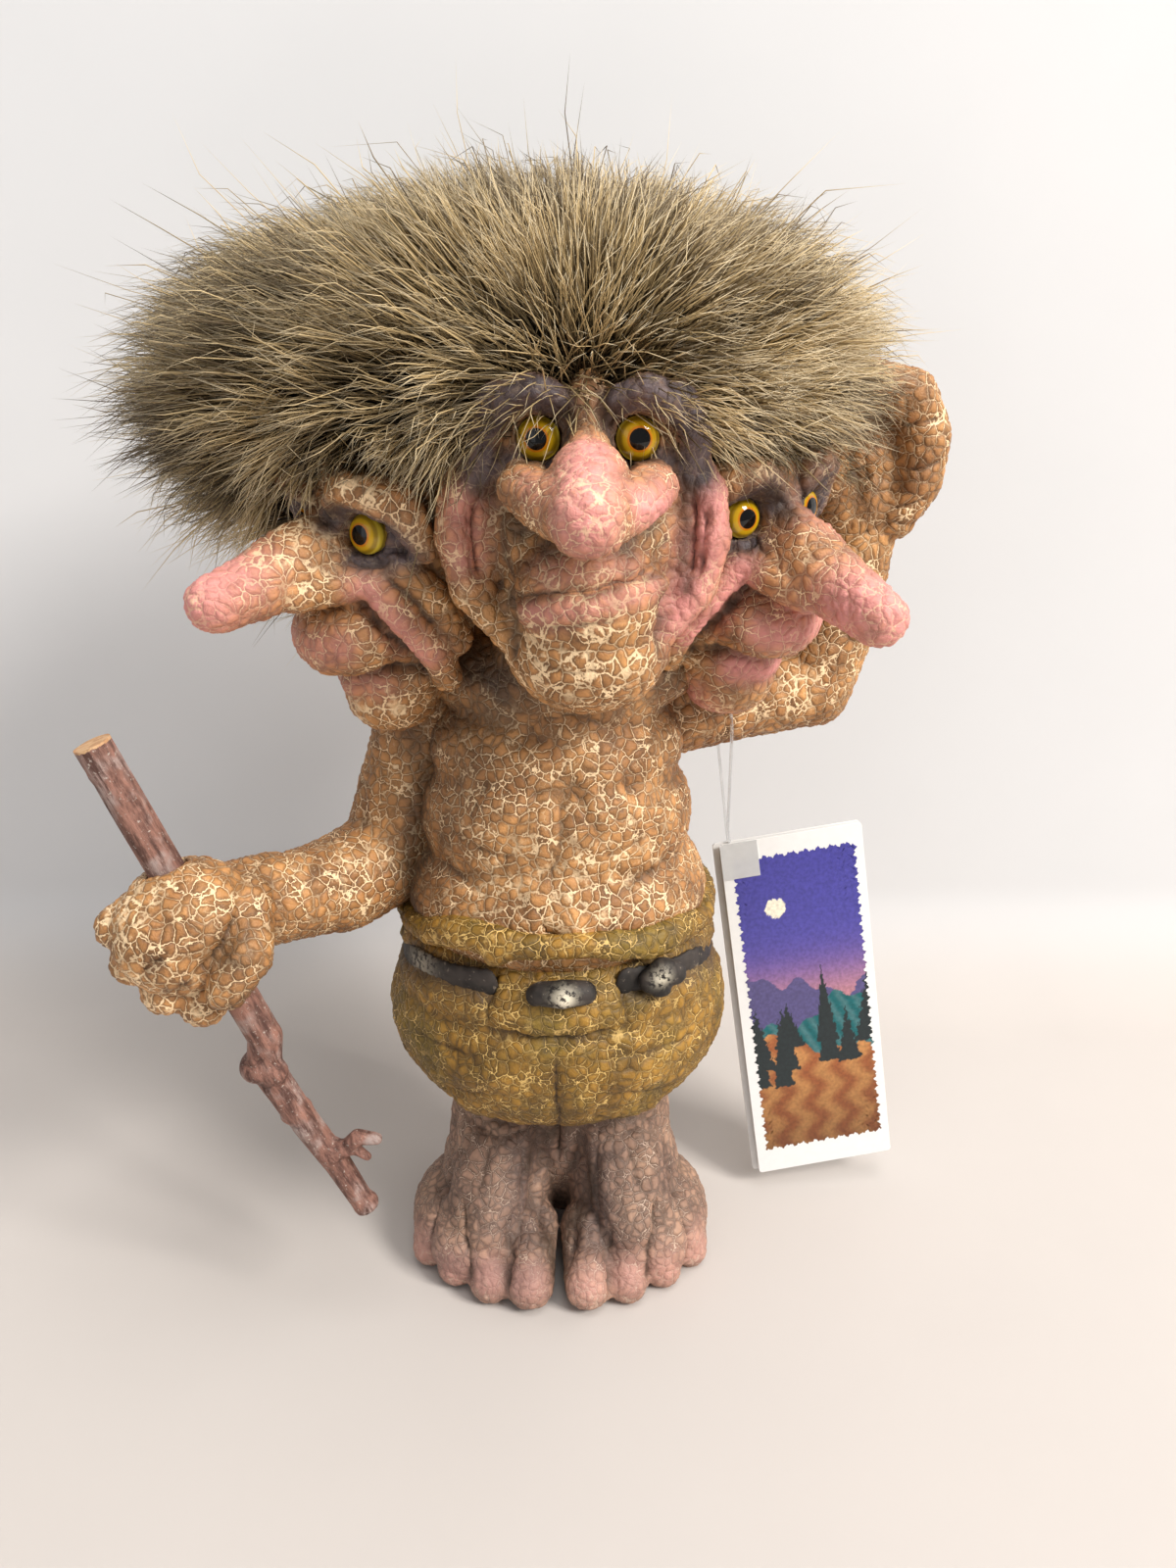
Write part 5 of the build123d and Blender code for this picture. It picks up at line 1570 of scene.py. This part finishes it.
class TROLL_OT_feet(bpy.types.Operator):
    """Models the feet"""

    bl_idname = "troll.feet"
    bl_label = "Feet"

    def execute(self, context):
        look = crackle_look(
            "feet",
            context.scene.troll,
            lumps=1.0,
            puff_share=0.7,
            cells=((0.25, 0.145, 0.1), (0.42, 0.25, 0.16)),
            cracks=(0.66, 0.48, 0.36),
            pink=(0.62, 0.31, 0.25),
            rough=0.65,
            crack_width=0.022,
        )
        feet_clay().finish("figure", "skin", ["feet"], *look)
        return {"FINISHED"}


class TROLL_OT_trousers(bpy.types.Operator):
    """Models the trousers, the belt and its knobs"""

    bl_idname = "troll.trousers"
    bl_label = "Trousers and belt"

    def execute(self, context):
        look = crackle_look(
            "trouser",
            context.scene.troll,
            lumps=1.2,
            cells=((0.16, 0.078, 0.006), (0.38, 0.195, 0.026)),
            cracks=(0.72, 0.47, 0.15),
            pink=(0.6, 0.26, 0.22),
            rough=0.6,
            crack_width=0.034,
            moss=(0.19, 0.118, 0.015),
        )
        trousers_clay().finish("figure", "trousers", ["trousers"], *look)
        dark = dark_material()
        belt_clay().finish("figure", "belt", ["belt"], dark)
        knobs_clay().finish("figure", "belt", ["belt_knobs"], dark)
        return {"FINISHED"}


class TROLL_OT_twig(bpy.types.Operator):
    """Models the twig"""

    bl_idname = "troll.twig"
    bl_label = "Twig"

    def execute(self, context):
        twig_clay().finish("stick", "bark", ["twig"], bark_material())
        return {"FINISHED"}


class TROLL_OT_tag(bpy.types.Operator):
    """Makes the folded tag and dresses its loop and tape"""

    bl_idname = "troll.tag"
    bl_label = "Tag"

    def execute(self, context):
        card, ink, clear, frosted = paper_materials()
        front = leaf_piece("tag_front_leaf", FOLD_INSET, -LEAF_THICKNESS, card)
        settle(front, "tag_cover", ["tag_front"])
        settle(picture_piece(ink), "tag_cover")
        back = leaf_piece("tag_back_leaf", 0.0, -LEAF_STEP - LEAF_THICKNESS, card)
        settle(back, "tag", ["tag_back"])
        for node, material in (("tag_loop", clear), ("tag_tape", frosted)):
            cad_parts[node].data.materials.clear()
            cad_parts[node].data.materials.append(material)
        return {"FINISHED"}


class TROLL_OT_fur(bpy.types.Operator):
    """Grows the fur"""

    bl_idname = "troll.fur"
    bl_label = "Fur"

    def execute(self, context):
        settings = context.scene.troll
        felt = (0.02, 0.013, 0.007), (0.09, 0.062, 0.034)
        base = mottled_material("fur base", (700.0, 4.0, 0.7), *felt, rough=0.95)
        under_fur_clay().finish("figure", "fur", ["fur_wig"], base)
        rng = np.random.default_rng(SEED)
        count = settings.strands
        stations, tone = fur_paths(count, rng)
        count = len(stations[0])
        thickness = settings.strand_width / MM * rng.uniform(0.7, 1.25, count)
        shade = 0.7 * tone + 0.3 * rng.random(count)
        material = fur_material()
        order = np.argsort(stations[0][:, 0])
        for number, part in enumerate(np.array_split(order, FUR_PIECES)):
            piece = strand_mesh(
                f"fur_strands_{number + 1}",
                [station[part] for station in stations],
                thickness[part],
                shade[part],
                material,
            )
            settle(piece, "figure", ["fur_wig"])
        return {"FINISHED"}


class TROLL_OT_stage(bpy.types.Operator):
    """Sets the sheet, the lights and the camera"""

    bl_idname = "troll.stage"
    bl_label = "Stage"

    def execute(self, context):
        settings = context.scene.troll
        stage_sheet()
        stage_lights(settings.key_power)
        stage_camera()
        stage_world(settings.room_level)
        context.scene.view_settings.view_transform = "Standard"
        return {"FINISHED"}


class TROLL_PT_panel(bpy.types.Panel):
    """Sidebar panel with the steps in order"""

    bl_label = "Troll"
    bl_idname = "TROLL_PT_panel"
    bl_space_type = "VIEW_3D"
    bl_region_type = "UI"
    bl_category = "Troll"

    def draw(self, context):
        for name in TrollSettings.__annotations__:
            self.layout.prop(context.scene.troll, name)
        for operator in OPERATORS:
            self.layout.operator(operator.bl_idname)


OPERATORS = (
    TROLL_OT_heads,
    TROLL_OT_eyes,
    TROLL_OT_body,
    TROLL_OT_feet,
    TROLL_OT_trousers,
    TROLL_OT_twig,
    TROLL_OT_tag,
    TROLL_OT_fur,
    TROLL_OT_stage,
)
CLASSES = (TrollSettings, *OPERATORS, TROLL_PT_panel)


def register():
    """Makes the settings, steps and panel known."""
    for item in CLASSES:
        bpy.utils.register_class(item)
    bpy.types.Scene.troll = bpy.props.PointerProperty(type=TrollSettings)


def unregister():
    """Takes them away again."""
    del bpy.types.Scene.troll
    for item in reversed(CLASSES):
        bpy.utils.unregister_class(item)


def main():
    """Runs every step."""
    register()
    bpy.ops.troll.heads()
    bpy.ops.troll.eyes()
    bpy.ops.troll.body()
    bpy.ops.troll.feet()
    bpy.ops.troll.trousers()
    bpy.ops.troll.twig()
    bpy.ops.troll.tag()
    bpy.ops.troll.fur()
    bpy.ops.troll.stage()


if __name__ == "__main__":
    main()
